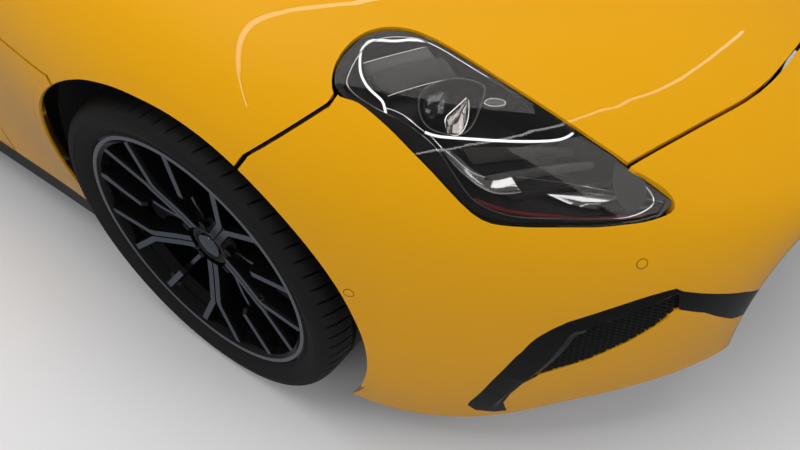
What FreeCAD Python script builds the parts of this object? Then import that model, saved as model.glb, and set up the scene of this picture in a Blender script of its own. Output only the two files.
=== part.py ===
"""A two-door coupe: sculpted body panels, doors, bonnet, boot lid, wheels, cabin and running gear.

Millimetres. +X is forward, +Y is the left side, +Z is up. The origin is on the floor,
at the middle of the car's length and width.
"""
import FreeCAD
import Part
import math
import os

from FreeCAD import Vector

doc = FreeCAD.newDocument("Coupe")

# Driving dimensions: alias, value, what it is
SIZES = [
    ("overall_length", 4959, "nose to tail"),
    ("body_width", 1957, "over the rear haunches, without mirrors"),
    ("roof_height", 1353, "floor to the top of the roof"),
    ("wheelbase", 2929, "axle to axle"),
    ("front_overhang", 966, "front axle to nose"),
    ("panel_wall", 22, "wall of bonnet, bumpers and boot lid"),
    ("frame_wall", 45, "wall of roof, pillars and quarters"),
    ("door_wall", 78, "thickness of a door"),
    ("shut_gap", 6, "gap round a moving panel"),
    ("fixed_gap", 0.3, "gap between fixed neighbours"),
    ("glass_wall", 5, "glass thickness"),
    ("glass_set", 3, "how deep the glass lies under the skin"),
    ("front_tyre_radius", 333, "265/30 R20"),
    ("front_tyre_width", 265, "265/30 R20"),
    ("front_bead_radius", 254, "20 inch bead seat"),
    ("rear_tyre_radius", 355, "295/30 R21"),
    ("rear_tyre_width", 295, "295/30 R21"),
    ("rear_bead_radius", 266.7, "21 inch bead seat"),
    ("tyre_face", 960, "centre plane of the car to a tyre's outer face"),
    ("front_arch_radius", 397, "front wheel arch"),
    ("rear_arch_radius", 412, "rear wheel arch"),
    ("arch_centre", 335, "height of the front arch's centre"),
    ("rear_arch_centre", 357, "height of the rear arch's centre"),
    ("rim_wall", 9, "rim barrel wall"),
    ("spoke_groups", 5, "forked spokes in a wheel"),
    ("hub_bore", 33, "radius of a wheel's centre bore over its stub"),
    ("running_gap", 0.4, "radial gap at stubs and pins"),
    ("steer_offset", 790, "centre plane of the car to a steering axis"),
    ("floor_height", 140, "underside of the floor"),
    ("floor_wall", 8, "floor panel thickness"),
    ("floor_half", 839, "half width of the floor between the axles"),
    ("disc_radius", 190, "front brake disc"),
    ("disc_wall", 34, "brake disc thickness"),
    ("engine_length", 640, "engine block"),
    ("engine_width", 560, "engine block"),
    ("engine_height", 430, "engine block"),
    ("seat_width", 500, "front seat over its bolsters"),
    ("steering_wheel_radius", 182, "rim of the steering wheel"),
    ("mirror_reach", 1056, "centre plane to a mirror's outer face"),
]

sheet = doc.addObject("Spreadsheet::Sheet", "Sizes")
for row, (alias, value, note) in enumerate(SIZES, start=1):
    sheet.set("A%d" % row, note)
    sheet.set("B%d" % row, str(value))
    sheet.setAlias("B%d" % row, alias)
doc.recompute()


def size(alias):
    """Reads one driving dimension from the sheet."""
    return float(sheet.get(alias))


WHEELBASE = size("wheelbase")
FRONT_X = size("overall_length") / 2 - size("front_overhang")
REAR_X = FRONT_X - WHEELBASE
GAP = size("shut_gap") / 2
SEAM = size("fixed_gap") / 2
PANEL = size("panel_wall")
FRAME = size("frame_wall")

# The body's sections. x is measured from the front axle on the first layout, with the
# rear axle 2929 behind it. Each row: x at the centre line, x at the side, then (y, z)
# of floor edge, sill, waist, side, shoulder, crest, belt, glass, rail, roof side, and
# the height of the centre line.
LAYOUT_WHEELBASE = 2929
LAYOUT_WIDTH = 1957
LAYOUT_HEIGHT = 1353
STATIONS = [
    (880, 800, (400, 150), (415, 210), (425, 290), (425, 370), (405, 450), (350, 492),
     (290, 505), (220, 512), (140, 517), (70, 520), 520),
    (960, 874, (425, 140), (443, 205), (457, 290), (458, 380), (438, 470), (375, 520),
     (310, 534), (235, 542), (150, 548), (75, 551), 552),
    (968, 872, (440, 132), (470, 205), (492, 300), (500, 400), (482, 500), (410, 560),
     (335, 574), (250, 582), (160, 588), (80, 591), 592),
    (905, 801, (560, 128), (590, 205), (612, 300), (622, 410), (600, 520), (520, 592),
     (420, 618), (315, 632), (200, 638), (100, 641), 642),
    (800, 660, (705, 122), (732, 205), (750, 300), (756, 420), (730, 545), (640, 625),
     (520, 668), (395, 686), (260, 696), (130, 700), 701),
    (660, 520, (820, 98), (845, 200), (857, 300), (858, 430), (832, 580), (735, 680),
     (600, 728), (460, 744), (310, 754), (155, 759), 760),
    (500, 380, (895, 98), (916, 200), (926, 300), (928, 440), (908, 610), (805, 728),
     (665, 772), (515, 782), (350, 792), (175, 799), 800),
    (330, 230, (925, 128), (940, 205), (956, 320), (968, 480), (956, 660), (840, 790),
     (690, 812), (540, 814), (370, 824), (185, 832), 833),
    (150, 60, (925, 128), (942, 205), (964, 330), (982, 510), (976, 700), (850, 838),
     (700, 842), (550, 838), (380, 850), (190, 859), 861),
    (-30, -120, (915, 128), (932, 205), (960, 330), (985, 520), (980, 715), (855, 858),
     (705, 858), (555, 855), (385, 870), (192, 880), 882),
    (-210, -300, (905, 128), (920, 205), (952, 330), (975, 520), (968, 715), (852, 862),
     (710, 872), (565, 872), (392, 888), (196, 900), 902),
    (-370, -480, (900, 128), (912, 205), (932, 330), (950, 520), (943, 710), (845, 860),
     (735, 893), (600, 900), (410, 912), (205, 922), 924),
    (-450, -640, (900, 128), (912, 205), (922, 330), (936, 520), (926, 705), (845, 862),
     (765, 915), (650, 940), (440, 950), (220, 955), 957),
    (-620, -800, (900, 128), (912, 205), (918, 330), (930, 520), (920, 705), (845, 868),
     (790, 925), (700, 1000), (520, 1042), (260, 1065), 1070),
    (-850, -1000, (900, 128), (912, 205), (916, 330), (927, 520), (917, 705), (845, 875),
     (800, 932), (715, 1080), (590, 1170), (310, 1198), 1205),
    (-1120, -1240, (900, 128), (912, 205), (916, 330), (926, 520), (917, 705), (846, 880),
     (802, 938), (705, 1130), (600, 1262), (330, 1302), 1310),
    (-1450, -1530, (900, 128), (912, 205), (917, 330), (928, 520), (920, 705), (850, 885),
     (802, 945), (700, 1150), (590, 1300), (330, 1350), 1360),
    (-1800, -1850, (900, 128), (914, 205), (922, 330), (934, 520), (928, 710), (858, 892),
     (798, 955), (690, 1145), (570, 1295), (320, 1348), 1358),
    (-2150, -2180, (905, 128), (922, 205), (936, 330), (950, 520), (945, 725), (868, 905),
     (780, 975), (665, 1125), (540, 1255), (300, 1310), 1320),
    (-2480, -2480, (915, 128), (935, 205), (955, 330), (975, 520), (970, 745), (885, 915),
     (755, 985), (630, 1090), (500, 1180), (280, 1235), 1245),
    (-2780, -2760, (925, 128), (945, 205), (968, 330), (990, 530), (986, 755), (895, 920),
     (735, 975), (600, 1035), (465, 1095), (260, 1135), 1145),
    (-3080, -3030, (925, 128), (945, 205), (965, 330), (986, 540), (980, 760), (885, 915),
     (725, 960), (580, 990), (440, 1020), (245, 1045), 1052),
    (-3380, -3290, (910, 135), (930, 215), (948, 340), (962, 545), (950, 760), (855, 895),
     (710, 940), (560, 958), (415, 972), (230, 985), 990),
    (-3650, -3530, (870, 150), (888, 235), (902, 350), (912, 545), (898, 750), (800, 872),
     (670, 915), (530, 932), (390, 945), (215, 955), 960),
    (-3860, -3720, (790, 180), (808, 260), (820, 370), (826, 545), (812, 735), (735, 850),
     (620, 893), (495, 912), (365, 925), (200, 935), 940),
    (-3955, -3850, (670, 215), (690, 285), (700, 385), (704, 550), (695, 720), (640, 815),
     (550, 858), (445, 878), (330, 892), (180, 902), 907),
    (-3985, -3945, (480, 260), (500, 320), (510, 400), (512, 550), (505, 690), (470, 765),
     (410, 805), (340, 825), (255, 838), (140, 846), 850),
    (-3993, -3993, (280, 310), (295, 350), (302, 410), (303, 540), (300, 640), (285, 700),
     (260, 740), (220, 762), (165, 775), (90, 782), 785),
]
FRONT_FIXED = -400
REAR_FIXED = -2529
STRETCH = (FRONT_FIXED - REAR_FIXED + WHEELBASE - LAYOUT_WHEELBASE) / (FRONT_FIXED - REAR_FIXED)
ACROSS = size("body_width") / LAYOUT_WIDTH
UPWARD = size("roof_height") / LAYOUT_HEIGHT


def along(x):
    """Places a layout x in the car: only the part between the arches stretches."""
    if x >= FRONT_FIXED:
        return FRONT_X + x
    if x <= REAR_FIXED:
        return REAR_X + x + LAYOUT_WHEELBASE
    return FRONT_X + FRONT_FIXED + (x - FRONT_FIXED) * STRETCH


def cage():
    """The control points of the body's skin, from nose to tail and from right to left."""
    lines = []
    for station in STATIONS:
        centre, side = station[0], station[1]
        rows = station[2:12]
        widest = max(y for y, z in rows)
        right = []
        for y, z in rows:
            x = centre + (side - centre) * (y / widest) ** 2
            right.append(Vector(along(x), -y * ACROSS, z * UPWARD))
        middle = Vector(along(centre), 0, station[12] * UPWARD)
        left = [Vector(p.x, -p.y, p.z) for p in reversed(right)]
        lines.append(right + [middle] + left)
    return lines


def inward(lines, depth):
    """Moves the control points inwards along the skin's normal."""
    moved = []
    last_line = len(lines) - 1
    last_row = len(lines[0]) - 1
    for i, line in enumerate(lines):
        new_line = []
        for j, point in enumerate(line):
            forward = lines[max(i - 1, 0)][j] - lines[min(i + 1, last_line)][j]
            across = line[min(j + 1, last_row)] - line[max(j - 1, 0)]
            normal = across.cross(forward)
            normal.normalize()
            new_line.append(point + normal * depth)
        moved.append(new_line)
    return moved


def skin(depth, first, last):
    """The skin as a uniform cubic surface, 'depth' under the outside, between two stations."""
    lines = inward(CAGE, depth)
    lines = [[a * 2 - b for a, b in zip(lines[0], lines[1])]] + lines
    lines.append([a * 2 - b for a, b in zip(lines[-1], lines[-2])])
    lines = [[line[0] * 2 - line[1]] + line + [line[-1] * 2 - line[-2]] for line in lines]
    lines = lines[first:last + 3]
    surface = Part.BSplineSurface()
    u_count, v_count = len(lines), len(lines[0])
    u_knots = [float(k) for k in range(u_count + 4)]
    v_knots = [float(k) for k in range(v_count + 4)]
    surface.buildFromPolesMultsKnots(lines, [1] * len(u_knots), [1] * len(v_knots),
                                     u_knots, v_knots, False, False, 3, 3)
    surface.segment(3.0, float(u_count), 3.0, float(v_count))
    return surface


CAGE = cage()


SEWING = 0.05


def shell(top, bottom, first=0, last=27):
    """A closed wall between two depths under the skin, from one station to another."""
    outer = skin(top, first, last).toShape()
    inner = skin(bottom, first, last).toShape()
    faces = [outer, inner]
    for near, far in zip(outer.Edges, inner.Edges):
        faces.append(Part.makeRuledSurface(near, far))
    wall = Part.makeCompound(faces)
    wall.sewShape(SEWING)
    solid = Part.makeSolid(wall.Shells[0])
    if solid.Volume < 0:
        solid.reverse()
    return solid


def base_points(points, direction):
    """Slides points on the skin along a direction down to the floor plane."""
    based = []
    for x, y, z in points:
        drop = z / direction.z
        based.append(Vector(along(x), y, z) - direction * drop)
    return based


def grown_face(corners, normal, grow):
    """The flat face inside some corners, its outline moved outwards by 'grow'."""
    count = len(corners)
    area = Vector()
    for k in range(count):
        area = area + corners[k].cross(corners[(k + 1) % count])
    turn = 1 if area.dot(normal) > 0 else -1
    moved = []
    for k in range(count):
        before = (corners[k] - corners[k - 1]).normalize()
        after = (corners[(k + 1) % count] - corners[k]).normalize()
        out_before = before.cross(normal) * turn
        out_after = after.cross(normal) * turn
        mitre = (out_before + out_after).normalize()
        reach = grow / max(mitre.dot(out_before), 0.3)
        moved.append(corners[k] + mitre * reach)
    return Part.Face(Part.makePolygon(moved + [moved[0]]))


def plan_prism(points, direction, grow, top=1700):
    """A prism through skin points (x, y, z), along a direction, its outline grown or shrunk."""
    face = grown_face(base_points(points, direction), Vector(0, 0, 1), grow)
    return face.extrude(direction * (top / direction.z))


def side_prism(points, grow=0, reach=1300, direction=None):
    """A prism across the whole car from a side outline of (x, z) points."""
    way = direction or Vector(0, 1, 0)
    corners = [Vector(along(x), 0, z) - way * reach for x, z in points]
    return grown_face(corners, Vector(0, 1, 0), grow).extrude(way * (2 * reach))


def front_prism(points, x_low, x_high, grow=0):
    """A prism along the car from an outline of (y, z) points."""
    corners = [Vector(x_low, y, z) for y, z in points]
    return grown_face(corners, Vector(1, 0, 0), grow).extrude(Vector(x_high - x_low, 0, 0))


def block(x0, x1, y0, y1, z0, z1):
    """A box between two corners, with x in the layout."""
    low, high = sorted((along(x0), along(x1)))
    return Part.makeBox(high - low, y1 - y0, z1 - z0, Vector(low, y0, z0))


def both_sides(points):
    """Closes a right-hand outline (from the centre line out) with its mirror image."""
    mirrored = [(x, -y, z) for x, y, z in reversed(points) if abs(y) > 1]
    return points + mirrored


def mirror(shape):
    """The left-hand twin of a right-hand shape."""
    return shape.mirror(Vector(0, 0, 0), Vector(0, 1, 0))


def rod(start, end, radius):
    """A round bar between two points."""
    way = end - start
    return Part.makeCylinder(radius, way.Length, start, way)


def keep(shape):
    """The largest solid of a boolean's result, with its split faces joined."""
    solids = sorted(shape.Solids, key=lambda solid: solid.Volume)
    return solids[-1]


def part(label, shape, place=Vector()):
    """Adds a sub-part to the document, at a place in the car."""
    item = doc.addObject("Part::Feature", label)
    item.Label = label
    item.Shape = shape
    item.Placement = FreeCAD.Placement(place, FreeCAD.Rotation())
    return item


# Zones of the skin, by x from the front axle, y and z, all for the right-hand side
def smooth_line(points, loop, steps=4):
    """A rounded line through (x, y, z) points."""
    corners = [Vector(*p) for p in points]
    count = len(corners)
    line = []
    for k in range(count if loop else count - 1):
        picks = [k - 1, k, k + 1, k + 2]
        if not loop:
            picks = [min(max(pick, 0), count - 1) for pick in picks]
        a, b, c, d = (corners[pick % count] for pick in picks)
        for step in range(steps):
            t = step / steps
            point = (b * 2 + (c - a) * t + (a * 2 - b * 5 + c * 4 - d) * (t * t)
                     + (b * 3 - a - c * 3 + d) * (t * t * t)) * 0.5
            line.append((point.x, point.y, point.z))
    if not loop:
        line.append(points[-1])
    return line


UPWARDS = Vector(0, 0, 1)
BONNET_WAY = Vector(0.2, 0, 1)
LID_WAY = Vector(0.8, 0, 1)
BONNET_BACK = -597
SIDE_SEAM = [(-900, 690), (-375, 664), (-242, 659), (173, 664), (282, 756),
             (282, 60), (-900, 60)]
LAMP_EDGE = [
    (716, -612, 621), (697, -643, 611), (661, -681, 612), (624, -715, 614), (548, -776, 622),
    (495, -804, 641), (414, -811, 698), (356, -812, 734), (311, -815, 757), (280, -824, 765),
    (261, -800, 781), (258, -762, 797), (267, -727, 803), (293, -696, 802), (339, -678, 792),
    (447, -666, 760), (553, -649, 719), (639, -627, 675), (695, -607, 640),
]
LAMP_STEPS = 4
LAMP_LINE = smooth_line(LAMP_EDGE, True, LAMP_STEPS)
LAMP_TOP = LAMP_LINE[9 * LAMP_STEPS:17 * LAMP_STEPS + 1]
NOSE_SEAM = smooth_line([(762, 0, 712), (753, -245, 708), (737, -382, 700), (692, -507, 692),
                         (639, -627, 675)], False)
BONNET_EDGE = NOSE_SEAM[:-1] + LAMP_TOP[::-1] + [
    (282, -1300, 756), (-760, -1300, 700), (-760, -900, 800), (-640, -770, 890),
    (-597, -738, 900), (-545, -690, 915), (-480, -560, 935), (-437, -350, 945), (-425, 0, 953),
]
LAMP_BOTTOM = 560
PILLAR_WIDTH = 42
DOOR_FRONT = -690
DOOR_INSIDE = 700
DOOR_EDGE = [(-600, 215), (-600, 926), (-690, 926), (-1200, 947), (-1950, 972), (-1990, 600),
             (-1962, 215)]
WINDOW_EDGE = [(-712, 942), (-820, 1050), (-960, 1145), (-1200, 1222), (-1500, 1256),
               (-1835, 1250), (-2170, 1205), (-2400, 1130), (-2505, 1062), (-2470, 1018),
               (-1960, 978), (-1200, 952)]
SCREEN_EDGE = [(-1205, 0, 1300), (-1190, -350, 1285), (-1130, -560, 1215), (-900, -640, 1080),
               (-640, -700, 960), (-560, -560, 960), (-500, -350, 965), (-480, 0, 970)]
BACK_LIGHT_EDGE = [(-2270, 0, 1290), (-2285, -330, 1270), (-2340, -500, 1200),
                   (-2700, -555, 1090), (-2990, -590, 1000), (-3040, -400, 1030),
                   (-3055, 0, 1055)]
LID_EDGE = [(-3110, 0, 1045), (-3105, -400, 1020), (-3100, -560, 985), (-3500, -585, 930),
            (-4300, -600, 800), (-4300, 0, 800)]
LID_BOTTOM = 738
TAIL_SEAM = [(-3060, 700), (-3560, 735), (-4100, 738), (-4100, 60), (-3060, 60)]
TAIL_LAMP = [(612, 803), (900, 815), (900, 862), (612, 852)]
INTAKE_EDGE = [(90, 498), (34, 487), (-24, 467), (-70, 449), (-96, 430), (-120, 398),
               (-141, 358), (-170, 280), (-203, 168), (-186, 142), (-150, 132), (-128, 138),
               (-140, 180), (-133, 222), (-117, 264), (-91, 296), (-20, 333), (43, 380),
               (81, 416), (107, 447), (162, 419), (237, 360), (330, 318), (330, 400),
               (279, 412), (231, 438), (165, 465), (104, 489)]
MESH_EDGE = [(102, 484), (37, 474), (-41, 427), (-56, 415), (-75, 373), (-108, 288),
             (-91, 290), (-20, 327), (43, 374), (81, 410), (110, 440)]


def bonnet_zone(grow):
    """Where the bonnet is: over the wings' tops, from the nose seam to the cowl."""
    area = plan_prism(both_sides(BONNET_EDGE), BONNET_WAY, grow)
    below = side_prism(SIDE_SEAM, -grow)
    behind = block(-2000, BONNET_BACK, -1400, 1400, 0, 1700)
    behind.translate(Vector(-grow, 0, 0))
    return area.cut(below).cut(behind)


def lamp_zone(grow):
    """Where the right headlamp is."""
    area = plan_prism(LAMP_LINE, UPWARDS, grow, 1100)
    return area.cut(block(0, 1100, -1100, 0, 0, LAMP_BOTTOM))


def door_zone(grow):
    """Where both doors are; the rear shut face leans so that it swings clear."""
    right = side_prism(DOOR_EDGE, grow, 1300, Vector(0.25, 1, 0))
    right.translate(Vector(0.25 * 925, 0, 0))
    ahead = block(DOOR_FRONT, 200, -1400, 1400, 0, 1700)
    ahead.translate(Vector(grow, 0, 0))
    right = right.cut(ahead).common(block(-4000, 900, -1400, -DOOR_INSIDE, 0, 1700))
    return right.fuse(mirror(right))


def window_zone(grow):
    """The side windows' outline, kept clear of the windscreen by the pillar's width."""
    screen = plan_prism(both_sides(SCREEN_EDGE), UPWARDS, PILLAR_WIDTH - grow)
    return side_prism(WINDOW_EDGE, grow).cut(screen)


def lid_zone(grow):
    """Where the boot lid is."""
    area = plan_prism(both_sides(LID_EDGE), LID_WAY, grow)
    below = block(-4500, -2500, -1400, 1400, 0, LID_BOTTOM - grow)
    return area.cut(below)


def arch(x, z, radius, inner, outer):
    """The right wheel's arch as a cylinder across the car."""
    return Part.makeCylinder(radius, outer - inner, Vector(x, -outer, z), Vector(0, 1, 0))


def both(shape):
    """A shape and its mirror image as one tool."""
    return shape.fuse(mirror(shape))


FRONT_ARCH = both(arch(FRONT_X, size("arch_centre"), size("front_arch_radius"), 480, 1300))
REAR_ARCH = both(arch(REAR_X, size("rear_arch_centre"), size("rear_arch_radius"), 560, 1300))
BONNET_GROWN = bonnet_zone(GAP)
DOORS_GROWN = door_zone(GAP)
LID_GROWN = lid_zone(GAP)
TAIL_LAMPS = both(front_prism([(-y, z) for y, z in TAIL_LAMP], along(-4100), along(-3600)))

# Outer panels
LAMPS_GROWN = both(lamp_zone(SEAM))
INTAKE_WAY = Vector(1, -1, 0).normalize()
INTAKE_ALONG = Vector(1, 1, 0).normalize()


def intake_zone(grow, edge=INTAKE_EDGE):
    """An outline of the corner intake, cut diagonally into the right front corner."""
    start = Vector(FRONT_X, 0, 0) + INTAKE_WAY * 600
    corners = [start + INTAKE_ALONG * t + Vector(0, 0, z) for t, z in edge]
    return grown_face(corners, INTAKE_WAY, grow).extrude(INTAKE_WAY * 900)


LIP_EDGE = [(540, 0), (540, 104), (598, 122), (673, 165), (748, 192), (839, 224), (1100, 262),
            (1100, 0)]


def front_bumper():
    """The nose below the bonnet and lamps, up to the front wheel arches."""
    wall = shell(0, PANEL).common(block(100, 1100, -1100, 1100, 0, 1000))
    below = side_prism(LIP_EDGE)
    return keep(wall.cut([FRONT_ARCH, BONNET_GROWN, LAMPS_GROWN, both(intake_zone(SEAM)),
                          below]))


def bonnet():
    """The clamshell bonnet with its two gooseneck hinge arms."""
    wall = keep(shell(0, PANEL, 2, 14).common(bonnet_zone(-GAP)).cut(FRONT_ARCH))
    arm = hinge_arm(BONNET_HINGE, 690, BONNET_ARM)
    return wall.fuse([arm, mirror(arm)])


HINGE_EYE = 14
HINGE_PIN = 6
ARM_WALL = 12
BONNET_HINGE = Vector(along(-612), 0, 893)
BONNET_ARM = [(-8, 8), (-14, -52), (112, -56), (112, 2), (84, 2), (84, -32), (14, -32), (8, 8)]
LID_HINGE = Vector(along(-2990), 0, 945)
LID_ARM = [(8, 8), (14, -150), (-190, -150), (-190, 22), (-160, 22), (-156, -132), (-14, -132),
           (-8, 8)]


def hinge_arm(pivot, y, outline):
    """A flat hooked arm on the right side, with an eye round its pivot."""
    corners = [pivot + Vector(x, -y, z) for x, z in outline]
    plate = Part.Face(Part.makePolygon(corners + [corners[0]])).extrude(Vector(0, ARM_WALL, 0))
    middle = pivot + Vector(0, -y, 0)
    eye = Part.makeCylinder(HINGE_EYE, ARM_WALL, middle, Vector(0, 1, 0))
    bore = Part.makeCylinder(HINGE_PIN + size("running_gap"), ARM_WALL, middle, Vector(0, 1, 0))
    return plate.fuse(eye).cut(bore)


def wings():
    """The fixed lower wing panels between the front wheels and the doors."""
    wall = shell(0, PANEL, 7, 15).common(block(DOOR_FRONT + GAP, -100, -1100, 1100, 0, 1000))
    middle = block(-1000, -100, -737, 737, 0, 1200)
    behind = block(-630, -597, -790, 790, 880, 1200)
    wall = wall.cut([FRONT_ARCH, BONNET_GROWN, DOORS_GROWN, middle, behind, SILL_CUT])
    brackets = [block(-649.7, -640, -914, -850, z, z + LEAF_HEIGHT) for z in LEAF_FEET]
    right = [keep(half.fuse(brackets)) for half in wall.Solids if half.CenterOfMass.y < 0]
    right = keep(Part.makeCompound(right))
    return Part.makeCompound([right, mirror(right)])


LEAF_HEIGHT = 60
LEAF_FEET = (350, 660)
SILL_TOP = 208
SILL_CUT = block(-2600, 60, -1100, 1100, 0, SILL_TOP + SEAM)


def sills():
    """The dark side skirts under the doors."""
    wall = shell(0, 60, 8, 22).common(block(-2600, 0, -1100, 1100, 0, SILL_TOP - SEAM))
    return wall.cut([FRONT_ARCH, REAR_ARCH])


def body_shell():
    """Roof, pillars, window surrounds and rear quarters in one piece."""
    wall = shell(0, FRAME, 10, 27)
    nose = block(-606, 1100, -1100, 1100, 0, 1500)
    front_wings = block(DOOR_FRONT, -500, -1400, SEAM - 737, 0, 1500)
    cowl = plan_prism(both_sides(COWL_CUT), UPWARDS, SEAM)
    glass = [plan_prism(both_sides(SCREEN_EDGE), UPWARDS, SEAM),
             plan_prism(both_sides(BACK_LIGHT_EDGE), UPWARDS, SEAM),
             window_zone(SEAM)]
    tail = side_prism(TAIL_SEAM, SEAM)
    body = wall.cut([nose, both(front_wings), cowl, glass_foot(2 * GAP)] + glass)
    return keep(body.cut([DOORS_GROWN, LID_GROWN, REAR_ARCH, tail, TAIL_LAMPS, SILL_CUT,
                          BONNET_GROWN]))


COWL_CUT = [(-480, 0, 0), (-500, -350, 0), (-560, -560, 0), (-640, -700, 0),
            (-640, -737, 0), (-400, -737, 0)]
GLASS_FOOT = [(-718, 948), (-1200, 960), (-1960, 986), (-1960, 950), (-1200, 925), (-718, 905)]
GLASS_TOP = size("glass_set")
GLASS_LOW = size("glass_set") + size("glass_wall")
PILLAR = (-2012, -1988)


def cowl():
    """The dark panel between the bonnet and the windscreen, a step below the skin."""
    wall = shell(30, 38, 10, 15)
    notch = block(-720, -400, -697, -653, 0, 1500)
    panel = keep(wall.common(plan_prism(both_sides(COWL_CUT), UPWARDS, -SEAM))
                 .cut([block(-442, 0, -1000, 1000, 0, 1500), both(notch)]))
    seat = shell(GLASS_LOW + 2 * SEAM, 38, 10, 15).common(block(-700, -442, -630, 630, 0, 1500))
    seat = seat.common(plan_prism(both_sides(SCREEN_EDGE), UPWARDS, 0.5))
    return panel.fuse(seat.common(plan_prism(both_sides(COWL_CUT), UPWARDS, 15)))


def windscreen():
    """The windscreen glass."""
    return keep(shell(GLASS_TOP, GLASS_LOW, 10, 18)
                .common(plan_prism(both_sides(SCREEN_EDGE), UPWARDS, -SEAM)))


def rear_window():
    """The backlight glass."""
    return keep(shell(GLASS_TOP, GLASS_LOW, 16, 24)
                .common(plan_prism(both_sides(BACK_LIGHT_EDGE), UPWARDS, -SEAM)))


def quarter_glass():
    """The two fixed side windows behind the doors."""
    wall = shell(GLASS_TOP, GLASS_LOW, 15, 23)
    ahead = block(PILLAR[0], 1000, -1100, 1100, 0, 1500)
    return wall.common(window_zone(-SEAM)).cut(ahead)


def glass_foot(grow):
    """The low strip where the door windows drop into the doors."""
    return side_prism(GLASS_FOOT, grow).cut(block(-3000, 0, -700, 700, 0, 1500))


def door_glasses():
    """The two frameless door windows, clear of the frame round them."""
    wall = shell(GLASS_TOP, GLASS_LOW, 11, 20)
    behind = block(-3000, PILLAR[1] + 2 * GAP, -1100, 1100, 0, 1500)
    panes = wall.common(window_zone(-2 * GAP))
    foot = wall.common(glass_foot(0))
    return panes.fuse(foot).cut([behind, door_zone(2 * SEAM - GAP)])


def doors():
    """Both doors up to the belt line."""
    return shell(0, size("door_wall"), 11, 21).common(door_zone(-GAP))


def tail_wall():
    """The skin behind the rear axle, closed at the tail by a flat panel."""
    wall = shell(0, PANEL, 18, 27)
    last = skin(0, 18, 27)
    u0, u1, v0, v1 = last.bounds()
    rim = last.uIso(u1)
    bottom = Part.LineSegment(rim.value(v1), rim.value(v0))
    panel = Part.Face(Part.Wire([rim.toShape(), bottom.toShape()]))
    return wall.fuse(panel.extrude(Vector(PANEL, 0, 0)))


def boot_lid():
    """The boot lid, wrapping down between the tail lamps, with gooseneck hinges."""
    wall = keep(TAIL_WALL.common(lid_zone(-GAP)))
    arm = hinge_arm(LID_HINGE, 505, LID_ARM)
    return wall.fuse([arm, mirror(arm)])


def rear_bumper():
    """The tail below the lid and lamps, back from the rear arches."""
    wall = TAIL_WALL.common(side_prism(TAIL_SEAM, -SEAM))
    return keep(wall.cut([REAR_ARCH, LID_GROWN, TAIL_LAMPS, DIFFUSER_CUT] + pipe_room()))


def tail_lamps():
    """The two slim tail lamps."""
    return shell(0, 50, 20, 27).common(TAIL_LAMPS_IN)


def diffuser(bumper):
    """The dark insert and ramp under the tail with its fins."""
    strip = TAIL_WALL.common(block(-4100, -3600.3, -639.7, 639.7, 0, 317.7))
    ramp = cross_profile([(-3600.3, 140), (-3975, 292), (-3975, 317), (-3955, 317),
                          (-3600.3, 152)], -639.7, 639.7)
    fins = [cross_profile([(-3640, 158), (-3640, 100), (-3950, 230), (-3962, 300)],
                          y - 5, y + 5) for y in (-330, -110, 110, 330)]
    plan = plan_prism(both_sides(RAMP_PLAN), UPWARDS, 0)
    whole = ramp.fuse(fins).common(plan).fuse(strip)
    return keep(whole.cut([bumper] + pipe_room()))


RAMP_PLAN = [(-3600, 0, 0), (-3600, -640, 0), (-3860, -640, 0), (-3930, -480, 0),
             (-3968, -330, 0), (-3975, 0, 0)]


def exhausts():
    """Four round tail pipes in pairs."""
    pipes = []
    for x, y in PIPES:
        start = Vector(along(x), y, PIPE_HEIGHT)
        pipes.append(Part.makeCylinder(PIPE_RADIUS, 260, start, Vector(1, 0, 0))
                     .cut(Part.makeCylinder(PIPE_RADIUS - 4, 240, start, Vector(1, 0, 0))))
    return Part.makeCompound(pipes)


PIPES = [(-3893, -600), (-3942, -490), (-3942, 490), (-3893, 600)]
PIPE_RADIUS = 48
PIPE_HEIGHT = 262


def pipe_room():
    """The round holes that the tail pipes pass through."""
    return [Part.makeCylinder(PIPE_RADIUS + SEAM, 400, Vector(along(-4050), y, PIPE_HEIGHT),
                              Vector(1, 0, 0)) for x, y in PIPES]


def headlamp():
    """The right headlamp unit, closed."""
    housing = arch(FRONT_X, size("arch_centre"), LINER_RADIUS + 5 + SEAM, 400, 1000)
    return keep(shell(2, 105, 3, 9).common(lamp_zone(-SEAM)).cut(housing))


def intake_grilles():
    """The corner intakes: a blade over a recessed mesh panel, and its bridge to the mouth."""
    unit = keep(shell(0, 40).common(intake_zone(-SEAM)))
    pocket = shell(-2, 28).common(intake_zone(0, MESH_EDGE))
    right = keep(unit.cut(pocket))
    return Part.makeCompound([right, mirror(right)])


LINER_RADIUS = 388
MOUTH = [(y, z) for y, z in STATIONS[0][2:12]]
MOUTH_TOP = STATIONS[0][12]
BAR_PITCH = 52
BAR_WALL = 8


def mouth_prism(x_low, x_high, grow):
    """The central mouth's outline as a prism along the car."""
    right = [(-y, z) for y, z in MOUTH]
    left = [(y, z) for y, z in reversed(MOUTH)]
    outline = right + [(0, MOUTH_TOP)] + left
    return front_prism(outline, along(x_low), along(x_high), grow)


def front_grille(bumper):
    """The mouth's frame and its upright bars, curved back in the middle."""
    frame = mouth_prism(848, 874, -10).cut(mouth_prism(840, 880, -32))
    opening = mouth_prism(800, 960, -20)
    bars = []
    for k in range(-7, 8):
        y = k * BAR_PITCH
        back = 868 - 14 * math.cos(y / 420 * math.pi / 2)
        bars.append(block(841, back + 8, y - BAR_WALL / 2, y + BAR_WALL / 2, 100, 600))
    plate = mouth_prism(836, 846, -21)
    shape = plate.fuse([one.common(opening) for one in bars])
    return keep(keep(frame.cut(bumper)).fuse(shape).cut(bumper))


SPLITTER_PLAN = [(860, 0, 0), (860, -380, 0), (700, -520, 0), (640.3, -640, 0)]


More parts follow.
